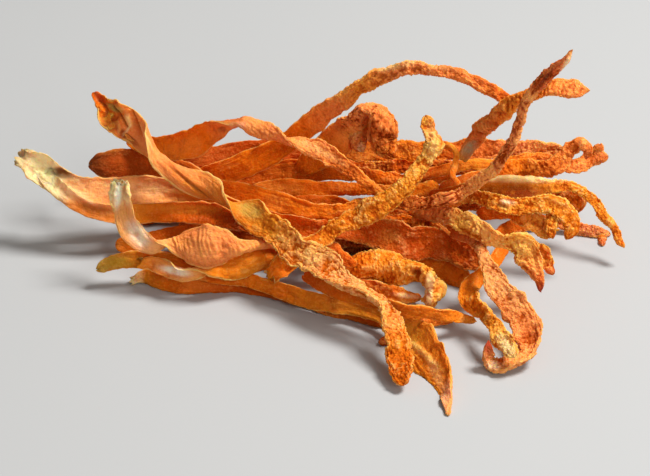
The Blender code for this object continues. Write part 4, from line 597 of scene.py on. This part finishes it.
class Ribbon:
    """One swept ribbon: its middle line, its sizes along that line, and how far it was slid to the viewer."""

    def __init__(self, node, stations, thickness, cup, trunk=None):
        rows = np.array([(*station, 0)[:5] for station in stations], float)
        line = sighted(rows[:, 0], rows[:, 1], rows[:, 2] * MM)
        self.node = node
        self.trunk = trunk
        if trunk:  # a branch starts on its trunk's middle line
            along = np.linspace(0, trunk.length, 200)
            trunk_line = through(trunk.knots, trunk.line, along)
            nearest = np.linalg.norm(trunk_line - line[0], axis=1).argmin()
            line[0] = trunk_line[nearest]
            self.root = along[nearest]
        chords = np.linalg.norm(np.diff(line, axis=0), axis=1)
        self.knots = np.concatenate([[0.0], np.cumsum(chords)])
        self.line = line
        self.widths = rows[:, 3] * MM
        self.rolls = np.radians(rows[:, 4])
        self.thickness = np.array(thickness) * MM
        self.cup = np.array(cup) * MM
        self.length = self.knots[-1]
        self.slide_at = np.linspace(0, self.length, round(self.length / SETTLE_STEP) + 1)
        self.slide = np.zeros(len(self.slide_at))

    def centres(self, places):
        """Middle line at the given lengths from the base, with its slide along the line of sight."""
        line = through(self.knots, self.line, places)
        return line + np.interp(places, self.slide_at, self.slide)[:, None] * sight(line)

    def frames(self, places):
        """Across and face directions of the ribbon: at roll 0 the face looks at the viewer."""
        tangent = (self.centres(np.minimum(places + TANGENT_STEP, self.length))
                   - self.centres(np.maximum(places - TANGENT_STEP, 0)))
        tangent /= np.linalg.norm(tangent, axis=1)[:, None]
        face = TO_VIEWER - (tangent @ TO_VIEWER)[:, None] * tangent
        face /= np.linalg.norm(face, axis=1)[:, None]
        across = np.cross(tangent, face)
        roll = through(self.knots, self.rolls, places)[:, None]
        return (np.cos(roll) * across - np.sin(roll) * face,
                np.cos(roll) * face + np.sin(roll) * across)

    def sizes(self, places):
        """Half width, half thickness and cup depth, rounded off to nothing at both ends."""
        half_width = np.maximum(through(self.knots, self.widths, places), LEAST_WIDTH) / 2
        share = places / self.length
        half_thick = np.minimum(self.thickness[0] + (self.thickness[1] - self.thickness[0]) * share,
                                2 * half_width) / 2
        cup = self.cup[0] + (self.cup[1] - self.cup[0]) * share
        cup = cup * np.minimum(1, half_width / (2 * MM))
        from_end = np.minimum(places, self.length - places)
        end = np.sqrt(1 - (1 - np.clip(from_end / np.maximum(half_width, END_ROUNDING), 0, 1)) ** 2)
        return half_width * end, half_thick * end, cup * end


def lane_balls(ribbon):
    """Balls that fill the ribbon, a row of lanes at each settling station, before any slide."""
    half_width, half_thick, cup = ribbon.sizes(np.clip(ribbon.slide_at, END_INSET, ribbon.length - END_INSET))
    across, face = ribbon.frames(ribbon.slide_at)
    radius = half_thick[:, None] * np.sqrt(1 - SETTLE_LANES ** 2 * LANE_TAPER)
    reach = np.maximum(half_width[:, None] - radius / 2, 0) * SETTLE_LANES
    rise = cup[:, None] * (SETTLE_LANES ** 2 - 0.5)
    balls = (ribbon.centres(ribbon.slide_at)[:, None] + reach[..., None] * across[:, None]
             + rise[..., None] * face[:, None])
    return balls, radius


def blurred(values, width):
    """Running mean of a row of values, with its ends held."""
    padded = np.pad(values, width // 2, mode="edge")
    return np.convolve(padded, np.full(width, 1 / width), mode="valid")


def crossings(ribbons, starts, balls, radius):
    """Pairs of stations of different strands that meet in the view, the nearer strand's station first.

    Pairs that follow on each other are one crossing, and there the strand that is nearer to the viewer
    on average is taken as the nearer one throughout.  With each pair comes the least slide of the
    nearer over the farther that keeps their balls clear.
    """
    middle = balls[:, len(SETTLE_LANES) // 2]
    reach = np.linalg.norm(balls - middle[:, None], axis=2).max(axis=1) + radius.max(axis=1)
    ribbon_of = np.repeat(np.arange(len(ribbons)), np.diff(starts))
    node = np.array([ribbon.node for ribbon in ribbons])[ribbon_of]
    near = np.linalg.norm(middle[:, None] - middle[None], axis=2) < reach[:, None] + reach + NEAR_MARGIN
    one, two = np.nonzero(np.triu(near & (node[:, None] != node)))
    apart = balls[one][:, :, None] - balls[two][:, None]
    ahead = np.einsum("nijk,nk->nij", apart, sight(middle[one]))
    aside = (apart ** 2).sum(axis=3) - ahead ** 2
    room = (radius[one][:, :, None] + radius[two][:, None] + GAP) ** 2 - aside
    meets = (room > 0).any(axis=(1, 2))
    one, two, ahead, room = one[meets], two[meets], ahead[meets], room[meets]

    order = np.lexsort((one, ribbon_of[two], ribbon_of[one]))
    one, two, ahead, room = one[order], two[order], ahead[order], room[order]
    parted = ((np.diff(ribbon_of[one]) != 0) | (np.diff(ribbon_of[two]) != 0)
              | (np.diff(one) > CROSSING_BREAK))
    crossing = np.concatenate([[0], np.cumsum(parted)])
    lead = np.bincount(crossing, ((middle[one] - middle[two]) * sight(middle[one])).sum(axis=1))
    sign = np.where(lead[crossing] >= 0, 1, -1)
    lack = np.where(room > 0, np.sqrt(np.maximum(room, 0)) - sign[:, None, None] * ahead, -np.inf)
    return np.where(sign > 0, one, two), np.where(sign > 0, two, one), lack.max(axis=(1, 2))


def sink_of(clearance, share):
    """How far each station of a strand may sink: both halves come down onto what is nearest behind them."""
    half = len(clearance) // 2
    base, tip = clearance[:half].min(), clearance[half:].min()
    if not np.isfinite(base) or not np.isfinite(tip):
        return min(base, tip) if np.isfinite(min(base, tip)) else 0.0
    return (1 - share) * base + share * tip


def settle(ribbons):
    """Slides the ribbons along the line of sight until they rest on each other and on the floor.

    Which of two ribbons lies nearer the viewer stays as their stations say.
    """
    balls, radius = (np.concatenate(parts) for parts in zip(*map(lane_balls, ribbons)))
    starts = np.cumsum([0] + [len(ribbon.slide) for ribbon in ribbons])
    front, back, lack = crossings(ribbons, starts, balls, radius)
    lowest = (balls[..., 2] - radius).min(axis=1)
    floor = (-FLOOR_BITE - lowest) / sight(balls[:, len(SETTLE_LANES) // 2])[:, 2]
    slide = np.maximum(0, floor)
    for turn in range(SETTLE_ROUNDS):
        spare = slide[front] - slide[back] - lack
        push = np.clip(-spare, 0, MOST_PUSH) * PUSH_EASE
        evenness = np.clip((SETTLE_ROUNDS - turn) / (SETTLE_ROUNDS - SINK_ROUNDS), LEAST_EVENNESS, 1)
        forward, backward = np.zeros(len(slide)), np.zeros(len(slide))
        np.maximum.at(forward, front, push)
        np.maximum.at(backward, back, push)
        slide = slide + (forward - backward) / 2
        clearance = np.where(slide - floor < SINK_REACH, slide - floor, np.inf)
        np.minimum.at(clearance, front, np.maximum(spare, 0))
        for ribbon, a, b in zip(ribbons, starts, starts[1:]):
            row = slide[a:b] + evenness * (blurred(slide[a:b], BLUR_STATIONS) - slide[a:b])
            share = np.linspace(0, 1, b - a)
            if ribbon.trunk:
                root = np.interp(ribbon.root, ribbon.trunk.slide_at, ribbon.trunk.slide)
                row += (root - row[0]) * (1 - share) ** 2
            elif turn < SINK_ROUNDS:
                row -= SINK_EASE * sink_of(clearance[a:b], share) * (row > -SINK_LIMIT)
            slide[a:b] = ribbon.slide = np.maximum(row, floor[a:b])


# The skins.

class Wire:
    """A number or colour that varies over a skin, which arithmetic extends by Math nodes."""

    def __init__(self, skin, socket):
        self.skin = skin
        self.socket = socket

    def math(self, operation, *terms):
        return self.skin.node("ShaderNodeMath", {"operation": operation}, *terms)

    def __add__(self, other):
        return self.math("ADD", self, other)

    def __rsub__(self, other):
        return self.math("SUBTRACT", other, self)

    def __mul__(self, other):
        return self.math("MULTIPLY", self, other)

    __radd__ = __add__
    __rmul__ = __mul__

    def held(self):
        """The number, held between 0 and 1."""
        return self.skin.node("ShaderNodeClamp", {}, self)

    def between(self, low, high):
        """0 below low, 1 above high, and a smooth rise between them."""
        return self.skin.node("ShaderNodeMapRange", {"interpolation_type": "SMOOTHSTEP"}, self, low, high, 0.0, 1.0)


class Skin:
    """A material and its nodes."""

    def __init__(self, name):
        self.material = bpy.data.materials.new(name)
        self.material.use_nodes = True
        self.tree = self.material.node_tree
        self.shader = self.tree.nodes["Principled BSDF"]

    def node(self, kind, settings, *inputs, output=0, **named):
        """Adds a node of a kind: settings first, then numbers, colours or wires for its sockets."""
        made = self.tree.nodes.new(kind)
        for name, value in settings.items():
            setattr(made, name, value)
        for place, value in [*enumerate(inputs), *named.items()]:
            self.plug(made.inputs[place.replace("_", " ") if isinstance(place, str) else place], value)
        return Wire(self, made.outputs[output])

    def plug(self, socket, value):
        if isinstance(value, Wire):
            self.tree.links.new(value.socket, socket)
        else:
            socket.default_value = value

    def finished(self, sockets):
        """The material, once its shader's sockets have these values or wires."""
        for name, value in sockets.items():
            self.plug(self.shader.inputs[name], value)
        return self.material

    def attribute(self, name, output="Fac"):
        return self.node("ShaderNodeAttribute", {"attribute_name": name}, output=output)

    def parts(self, vector):
        """The three numbers of a vector or colour."""
        made = self.tree.nodes.new("ShaderNodeSeparateXYZ")
        self.plug(made.inputs[0], vector)
        return [Wire(self, socket) for socket in made.outputs]

    def stretched(self, vector, factors):
        return self.node("ShaderNodeVectorMath", {"operation": "MULTIPLY"}, vector, factors)

    def clouds(self, vector, scale, detail=3.0, roughness=0.55):
        return self.node("ShaderNodeTexNoise", {}, Vector=vector, Scale=scale, Detail=detail,
                         Roughness=roughness, output="Fac")

    def pebbles(self, vector, scale):
        """0 in the middle of each granule, rising to the creases between them."""
        return self.node("ShaderNodeTexVoronoi", {"feature": "SMOOTH_F1"}, Vector=vector, Scale=scale,
                         Smoothness=0.35, output="Distance")

    def blend(self, share, one, two):
        """Colour one where share is 0 and colour two where it is 1."""
        made = self.tree.nodes.new("ShaderNodeMix")
        made.data_type = "RGBA"
        for socket, value in zip((made.inputs[0], made.inputs[6], made.inputs[7]), (share, one, two)):
            self.plug(socket, value)
        return Wire(self, made.outputs[2])

    def bump(self, height, depth):
        return self.node("ShaderNodeBump", {}, Strength=1.0, Distance=depth, Height=height)


def dried_skin(name, crease_shade_and_mottle, crest_highlight_and_mottle, mottle, gloss):
    """Skin of dried cordyceps, satin with lengthwise fibres at the base and granular towards the tip.

    It starts from the tint that was laid on the strand.  Slow clouds and fine speckle turn it at random towards one
    colour and another.  Painted shade turns the gaps between fibres, the low relief and the creases between
    granules towards the first, and a painted highlight turns the crests and thin rims towards the second.
    """
    skin = Skin(name)
    along = skin.attribute("straight", "Vector")
    tint = skin.attribute("tint", "Color")
    grain, rim, relief = skin.parts(skin.attribute("lie", "Color"))
    unspotted = 1.0 - skin.attribute("lie", "Alpha") * 0.65
    plain = 1.0 - grain

    fibres = skin.clouds(skin.stretched(along, (0.10, 1.0, 1.0)), 1700.0, 4.0).between(0.32, 0.70)
    mottling = skin.clouds(along, 380.0, 4.0, 0.62)
    speckle = skin.clouds(along, 2600.0, 3.0, 0.65)
    pebbles = skin.pebbles(along, 2300.0)
    crests = (1.0 - pebbles * 1.6).held()

    # Towards the crease colour: slow mottling and speckle at random, and painted shade in the gaps between fibres,
    # in the low relief and in the creases between granules.
    shade = mottling.between(0.45, 0.72) * mottle + (1.0 - fibres) * plain * 0.12
    shade = shade + speckle.between(0.50, 0.30) * plain * 0.20
    shade = shade + (1.0 - relief.between(0.16, 0.50)) * (0.18 + grain * 0.62)
    shade = shade + (1.0 - crests.between(0.15, 0.7)) * grain * 0.28
    base = skin.blend((shade * unspotted).held(), tint, crease_shade_and_mottle)
    # Towards the crest colour: painted highlight on the granules' crests and on the raised relief, and slow
    # mottling and speckle at random.
    light = relief.between(0.50, 0.86) * grain * (0.30 + crests * 0.50) + mottling.between(0.42, 0.25) * 0.22
    light = light + speckle.between(0.50, 0.72) * (0.14 + fibres * 0.12) * plain
    base = skin.blend((light * unspotted).held(), base, crest_highlight_and_mottle)
    # Painted highlight: a thin light line along the ribbon's rims, towards the crest colour.
    base = skin.blend((rim.between(0.78, 1.0) * unspotted * (0.62 - grain * 0.45)).held(), base, crest_highlight_and_mottle)

    roughness = gloss + grain * 0.16 + speckle * 0.1
    fine = fibres * plain * 0.35 + crests * grain + speckle * (0.5 + plain * 0.5)
    return skin.finished({"Base Color": base, "Roughness": roughness, "Normal": skin.bump(fine, FINE_DEPTH),
                          **TRANSLUCENCE, "Specular IOR Level": 0.06})


def floor_paper():
    return Skin("floor_paper").finished({"Base Color": FLOOR_GREY, "Roughness": 0.85, "Specular IOR Level": 0.2})


SKINS = {name: dried_skin(name, *finish) for name, finish in FINISHES.items()}


# The relief of the skins, in which every formula takes whole arrays.

def scattered(cells, seed):
    """Numbers from 0 to 1 that look random, one for each cell of a lattice of whole numbers."""
    mixed = cells[..., 0] * 73856093 ^ cells[..., 1] * 19349663 ^ cells[..., 2] * 83492791 ^ seed * 2971215073
    mixed = (mixed & 0x7FFFFFFF) * 1103515245 + 12345
    mixed = (mixed ^ (mixed >> 15)) & 0x7FFFFFFF
    mixed = mixed * 1664525 + 1013904223
    return ((mixed >> 7) & 0xFFFFF) / 0xFFFFF


def clouds(points, size, seed):
    """Smooth noise from -1 to 1: random numbers on a lattice of cells of that size, eased in between."""
    place = points / size
    cell = np.floor(place).astype(np.int64)
    f = place - cell
    f = f * f * (3 - 2 * f)
    total = 0
    for corner in np.ndindex(2, 2, 2):
        share = np.prod(np.where(corner, f, 1 - f), axis=-1)
        total = total + share * scattered(cell + corner, seed)
    return 2 * total - 1


def granules(points, size, seed):
    """Pebbled relief from 0 to 1: a round crest on each cell's own random centre, creases half-way between."""
    place = points / size
    cell = np.floor(place).astype(np.int64)
    nearest = np.full(points.shape[:-1], 9.0)
    for offset in np.ndindex(3, 3, 3):
        other = cell + offset - 1
        centre = other + 0.5 + 0.7 * (np.stack([scattered(other, seed + k) for k in range(3)], axis=-1) - 0.5)
        nearest = np.minimum(nearest, ((place - centre) ** 2).sum(axis=-1))
    return np.clip(1 - nearest / 0.62, 0, 1)


def rise(values, low, high):
    """0 below low, 1 above high, and a smooth rise between them."""
    share = np.clip((values - low) / (high - low), 0, 1)
    return share * share * (3 - 2 * share)


def seen_at(points):
    """Columns and rows at which the reference view shows the points."""
    from_eye = points - EYE
    depth = -(from_eye @ TO_VIEWER)
    reach = VIEW_DISTANCE / MM * VIEW_SCALE
    return np.stack([VIEW_COLUMNS / 2 + from_eye[..., 0] / depth * reach,
                     VIEW_ROWS / 2 - (from_eye @ VIEW_UP) / depth * reach], axis=-1)


def spaced(ribbon):
    """Lengths along the ribbon at which its skin has a ring of points, packed closer at the two ends."""
    count = int(ribbon.length / SKIN_STEP) + 2
    even = np.linspace(0, ribbon.length, count + 1)[1:-1]
    close = np.array(END_RINGS) * MM
    inner = even[(even > close[-1] * 1.3) & (even < ribbon.length - close[-1] * 1.3)]
    return np.concatenate([close, inner, ribbon.length - close[::-1]])


def torn_ends(ribbon, places, local, torn, number):
    """How far the skin near the two ends is pulled along the ribbon, in tongues that differ around it."""
    ahead = np.gradient(ribbon.centres(places), axis=0)
    ahead /= np.linalg.norm(ahead, axis=1)[:, None]
    tongues = 0.15 + 0.85 * clouds(local * (0.2, 1, 1), 0.8 * MM, number + 71)
    pull = 0
    for reach, from_end in ((-torn[0], places), (torn[1], ribbon.length - places)):
        near = np.clip(1 - from_end / TEAR_REACH, 0, 1)[:, None]
        pull = pull + reach * MM * near * near * tongues
    return pull[..., None] * ahead[:, None, :]


def crumpled_ends(look, ribbon, places):
    """How crumpled the skin is at each ring: the look's share near an end, easing out to nothing inwards."""
    *reaches, share = look["rough"]
    near = [1 - rise(from_end, 0.6 * reach * MM, (reach + 0.01) * MM)
            for reach, from_end in zip(reaches, (places, ribbon.length - places))]
    return share * np.maximum(*near)[:, None]


def wrinkles_of(look, local, share, number):
    """Sine ridges across the strand, slanted and pushed about by slow noise, between the look's two shares."""
    if not look["wrinkle"]:
        return 0 * share
    first, last = look["wrinkle"]
    across_at = (local[..., 0] + local[..., 1] * 0.35 + 0.62 * MM * clouds(local, 2.4 * MM, number + 23)
                 + 0.30 * MM * clouds(local, 0.9 * MM, number + 24))
    ridges = np.sin(across_at * 2 * math.pi / WRINKLE_PERIOD) * (0.6 + 0.8 * clouds(local, 1.3 * MM, number + 25))
    return 0.15 * ridges * (rise(share, first - WRINKLE_EASE, first) * (1 - rise(share, last, last + WRINKLE_EASE)))


def relief_of(look, local, share, grain, rim, rough, number):
    """How far the skin stands out, in millimetres: weighted sums of noises on the straightened strand.

    The plain skin has lengthwise furrows, creases and slow lumps, the fertile skin granules with grit on
    them, and crumpled ends have folded noise taken off them.
    """
    warped = local + WARP * np.stack([clouds(local, 0.9 * MM, number + k) for k in (81, 82, 83)], axis=-1)
    lengthwise = clouds(warped * (0.16, 1, 1), 0.9 * MM, number + 7)
    creases = 1 - rise(np.abs(clouds(warped * (0.42, 1, 1), 0.85 * MM, number + 9)), 0.0, 0.30)
    crumple = (np.abs(clouds(warped, 1.5 * MM, number + 13))
               + 0.5 * np.abs(clouds(warped, 0.7 * MM, number + 14)) - 0.45)
    lumps = clouds(local, 1.5 * MM, number + 11)
    pebbles = granules(warped * (1.25, 0.85, 0.85), GRANULE_SIZE, number + 17)
    grit = clouds(warped, 0.42 * MM, number + 19)
    return ((0.14 * lengthwise - 0.10 * creases + 0.10 * lumps + 0.06 * grit) * (1 - 0.8 * grain)
            + wrinkles_of(look, local, share, number) * (1 - rim) - 0.7 * rough * crumple
            + (0.22 * lumps + 0.34 * (pebbles - 0.5) + 0.17 * grit - 0.08 * creases) * grain)


def tinted(look, local, share, grain, number):
    """Colour of the skin: the strand's own, with slow clouds of rust and of yellow over it."""
    warmth = clouds(local * (0.6, 1, 1), 3.4 * MM, number + 61)[..., None]
    tint = strand_tint(look, share[:, 0])[:, None, :] + np.zeros((1, local.shape[1], 1))
    tint = tint + (np.array(RUST) - tint) * 0.45 * rise(-warmth, 0.05, 0.75)
    return tint + (np.array(YELLOW) - tint) * (0.18 + 0.25 * grain[..., None]) * rise(warmth, 0.15, 0.85)


def spotted_skin(node, points, normal, local, relief, tint, number):
    """The relief and colour with the strand's spots on them, and how strong a spot is at each point.

    A spot is exp(-d^4), where d is the distance from its middle in its own reaches, in the reference view.
    """
    pixels = seen_at(points)
    spotted = np.zeros(points.shape[:2])
    for column, row, reach, slant, lift, strength, paint in PATCHES.get(node, ()):
        offset = pixels - (column, row)
        turn = math.radians(slant)
        length = offset[..., 0] * math.cos(turn) + offset[..., 1] * math.sin(turn)
        width = -offset[..., 0] * math.sin(turn) + offset[..., 1] * math.cos(turn)
        spot = np.exp(-((length / reach[0]) ** 2 + (width / reach[1]) ** 2) ** 2)
        spot = spot * (normal @ TO_VIEWER > -0.2)  # not on the far side of the strand
        relief = relief + lift * spot
        spot = spot * (0.7 + 0.3 * rise(clouds(local, 0.8 * MM, number + 31), -0.5, 0.3)) * strength
        spotted = np.maximum(spotted, spot)
        tint = tint * (1 - spot[..., None]) + np.array(paint) * spot[..., None]
    return relief, tint, spotted


def skin_points(ribbon, number):
    """The ribbon's skin: rings of points, with what the material needs to know at each of them.

    The plain ribbon is the solid's own: a flat section with raised edges, carried along the route.  Its width
    swells and shrinks, its thin edges wave back and forth across it, and it sways off its line where it is
    fertile.  The relief then moves each point along the skin's normal, less near the ends and on thin parts,
    and what would be below the floor is pressed flat on it.  The numbers added to the strand's own number
    keep the noises apart.
    """
    look = LOOKS.get(ribbon.node, BURIED_SHADED_LOOK)
    places = spaced(ribbon)
    widest = 2 * ribbon.sizes(np.linspace(0, ribbon.length, 60))[0].max()
    around = int(np.clip(POINTS_A_WIDTH * widest / SKIN_STEP, LEAST_AROUND, MOST_AROUND)) // 4 * 4
    angles = np.arange(around) * 2 * math.pi / around
    blunt = [min(reach, 1) * BLUNT_END if reach > LEAST_TEAR else 0 for reach in look["torn"]]
    sized_at = np.clip(places, blunt[0], ribbon.length - blunt[1])
    half_width, half_thick, cup = (size[:, None] for size in ribbon.sizes(sized_at))
    half_width = half_width * look["broad"]
    across, face = (direction[:, None, :] for direction in ribbon.frames(places))
    cos, sin = np.cos(angles)[None, :], np.sin(angles)[None, :]

    girth = np.maximum(ribbon.sizes(np.clip(places, 2 * MM, ribbon.length - 2 * MM))[0], 0.5 * MM)[:, None]
    straight = np.stack([places[:, None] + 0 * cos, girth * cos, girth * sin], axis=-1)
    shift = np.array([0.0, 0.0, NOISE_SHIFT]) * (number + 1)
    local = straight + shift
    share = (places / ribbon.length)[:, None]
    centre = ribbon.centres(places)[:, None, :]

    fertile = look["grain"]
    grain = np.broadcast_to(rise(share, fertile[0], fertile[1]) * fertile[2], (len(places), around))
    # How near each point is to the ribbon's edges: the edges wave by it, and the material paints a highlight along
    # the rims by it.
    rim = np.abs(cos) ** 3 + 0 * share
    tip = np.clip(np.minimum(places + blunt[0], ribbon.length - places + blunt[1]) / END_EASE, 0.05, 1)[:, None]

    edge = EDGE_SHIFT * np.sign(cos) + 0 * share  # the two edges wave each in its own way
    side = local * (1, 0, 0) + np.stack([edge, 0 * edge, 0 * edge], axis=-1)
    swell = 1 + tip * ((0.08 + 0.10 * grain) * clouds(side, 2.6 * MM, number)
                       + (0.04 + 0.08 * grain) * clouds(side, 1.1 * MM, number + 5))
    flat = np.sign(sin) * np.abs(sin) ** 0.8
    ruffle = tip * rim * look["ruffle"] * MM * clouds(side, 2.6 * MM, number + 40)
    sheet = local * (1, 1, 0)
    rough = crumpled_ends(look, ribbon, places)
    buckle = tip * (rough + 0.12) * MM * (0.8 * clouds(sheet, 2.4 * MM, number + 53)
                                          + 0.45 * clouds(sheet, 1.1 * MM, number + 54))
    bowed = (half_thick * flat * (1 + 0.12 * clouds(local, 4 * MM, number + 3)) + cup * (cos ** 2 - 0.5)
             + ruffle + buckle)
    sway = tip[..., None] * grain[..., None] * 0.32 * MM * (
        clouds(local * (1, 0, 0), 3.6 * MM, number + 51)[..., None] * across
        + clouds(local * (1, 0, 0), 3.6 * MM, number + 52)[..., None] * face)
    points = centre + sway + (half_width * swell * cos)[..., None] * across + bowed[..., None] * face
    points = points + torn_ends(ribbon, places, local, look["torn"], number)
    if ribbon.trunk:  # a branch comes up out of its trunk instead of lying on it
        root = 1 - rise(places, 0.5 * MM, ROOT_REACH)
        points = points - ROOT_DEPTH * root[:, None, None] * face
        rim = rim * (1 - root[:, None])

    ahead = np.gradient(points, axis=0)
    beside = (np.roll(points, -1, axis=1) - np.roll(points, 1, axis=1)) / 2
    normal = np.cross(ahead, beside)
    normal /= np.maximum(np.linalg.norm(normal, axis=-1, keepdims=True), 1e-12)

    relief = relief_of(look, local, share, grain, rim, rough, number)
    # How high the relief stands, from which the material paints shade into the creases and highlights onto the
    # crests.
    deep = np.clip(0.5 + 1.5 * relief, 0, 1)
    tint = tinted(look, local, share, grain, number)
    relief, tint, spotted = spotted_skin(ribbon.node, points, normal, local, relief, tint, number)
    thin = np.clip(np.minimum(half_width / THIN_WIDTH, half_thick / THIN_DEPTH), 0.3, 1)
    points = points + (relief * MM * tip * thin)[..., None] * normal
    points[..., 2] = np.maximum(points[..., 2], 0)
    lie = np.stack([grain, rim, deep, spotted], axis=-1)
    ends = ribbon.centres(np.array([blunt[0] * 0.7, ribbon.length - blunt[1] * 0.7]))
    ends[:, 2] = np.maximum(ends[:, 2], 0)
    return points, ends, straight + shift, tint, lie


def strand_tint(look, share):
    """Colour along the strand, blended between the look's named colours."""
    stops = look["tint"]
    knots = np.array([stop[0] for stop in stops])
    colours = np.array([stop[1] for stop in stops])
    return np.stack([np.interp(share, knots, colours[:, k]) for k in range(3)], axis=-1)


def shell_faces(rings, around, first):
    """Four-cornered faces between the rings and three-cornered ones to the two end points, pointing out."""
    ring = np.arange(rings - 1)[:, None] * around
    low = ring + np.arange(around)[None, :]
    low_next = ring + (np.arange(around) + 1)[None, :] % around
    quads = np.stack([low, low + around, low_next + around, low_next], axis=-1).reshape(-1, 4)
    corner = np.arange(around)
    after = (corner + 1) % around
    base, tip, last = rings * around, rings * around + 1, (rings - 1) * around
    caps = np.concatenate([np.stack([np.full(around, base), corner, after], axis=-1),
                           np.stack([np.full(around, tip), last + after, last + corner], axis=-1)])
    return quads + first, caps + first


def strand_piece(node, ribbons, number, skin):
    """The visible strand, with its branches, as one object."""
    corners, straights, tints, lies, faces = [], [], [], [], []
    first = 0
    for k, ribbon in enumerate(ribbons):
        points, ends, straight, tint, lie = skin_points(ribbon, number + 50 * k)
        rings, around = points.shape[:2]
        flat = [np.concatenate([values.reshape(-1, values.shape[-1]), values[[0, -1], 0]])
                for values in (straight, tint, lie)]
        corners.append(np.concatenate([points.reshape(-1, 3), ends]))
        straights.append(flat[0])
        tints.append(flat[1])
        lies.append(flat[2])
        quads, caps = shell_faces(rings, around, first)
        faces += quads.tolist() + caps.tolist()
        first += len(corners[-1])
    mesh = bpy.data.meshes.new(node + "_skin")
    mesh.from_pydata(np.concatenate(corners).tolist(), [], faces)
    for name, kind, rows in (("straight", "FLOAT_VECTOR", straights), ("tint", "FLOAT_COLOR", tints),
                             ("lie", "FLOAT_COLOR", lies)):
        values = np.concatenate(rows)
        if name == "tint":
            values = np.concatenate([values, np.ones((len(values), 1))], axis=1)
        layer = mesh.attributes.new(name, kind, "POINT")
        layer.data.foreach_set("vector" if kind == "FLOAT_VECTOR" else "color", values.astype(np.float32).ravel())
    mesh.shade_smooth()
    mesh.materials.append(skin)
    piece = bpy.data.objects.new(node + "_piece", mesh)
    bpy.context.scene.collection.objects.link(piece)
    return piece


def dress_strands():
    slots = {part["node"]: part["material_slot"] for part in frame["record"]["subparts"]}
    ribbons = []
    for node, (thickness, cup, stations, *branches) in STRANDS.items():
        trunk = Ribbon(node, stations, thickness, cup)
        ribbons += [trunk] + [Ribbon(node, route, thickness, cup, trunk) for route in branches]
    settle(ribbons)
    for number, node in enumerate(STRANDS):
        own = [ribbon for ribbon in ribbons if ribbon.node == node]
        piece = strand_piece(node, own, number, SKINS[slots[node]])
        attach(piece, "root")
        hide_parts(node)


# The studio.

def lay_floor():
    mesh = bpy.data.meshes.new("studio_floor")
    corners = [(x * FLOOR_REACH, y * FLOOR_REACH, 0.0) for x, y in ((-1, -1), (1, -1), (1, 1), (-1, 1))]
    mesh.from_pydata(corners, [], [(0, 1, 2, 3)])
    mesh.materials.append(floor_paper())
    floor = bpy.data.objects.new("studio_floor", mesh)
    bpy.context.scene.collection.objects.link(floor)


def hang_light(name, place, size, power, tone):
    """A square soft light at a place, in metres, that faces the middle of the heap."""
    lamp = bpy.data.lights.new(name, "AREA")
    lamp.shape = "SQUARE"
    lamp.size = size
    lamp.energy = power
    lamp.color = tone
    light = bpy.data.objects.new(name, lamp)
    light.location = place
    light.rotation_euler = (Vector(VIEW_TARGET) - Vector(place)).to_track_quat("-Z", "Y").to_euler()
    bpy.context.scene.collection.objects.link(light)


def light_studio():
    for name, light in LIGHTS.items():
        hang_light(name, *light)
    sky = bpy.data.worlds.new("studio_sky")
    sky.use_nodes = True
    glow = sky.node_tree.nodes["Background"].inputs
    glow["Color"].default_value = SKY_TONE
    glow["Strength"].default_value = SKY_STRENGTH
    bpy.context.scene.world = sky
    bpy.context.scene.view_settings.view_transform = "Standard"


def place_camera():
    """The reference view's camera: its eye looks down at the target, which is in the picture's middle."""
    lens = bpy.data.cameras.new("reference_camera")
    lens.sensor_width = SENSOR_WIDTH
    lens.lens = VIEW_DISTANCE / MM * VIEW_SCALE / VIEW_COLUMNS * SENSOR_WIDTH
    lens.clip_start = 0.01
    camera = bpy.data.objects.new("reference_camera", lens)
    camera.location = EYE
    camera.rotation_euler = (math.pi / 2 - VIEW_TILT, 0.0, 0.0)
    bpy.context.scene.collection.objects.link(camera)
    bpy.context.scene.camera = camera


place_camera()
lay_floor()
light_studio()
dress_strands()
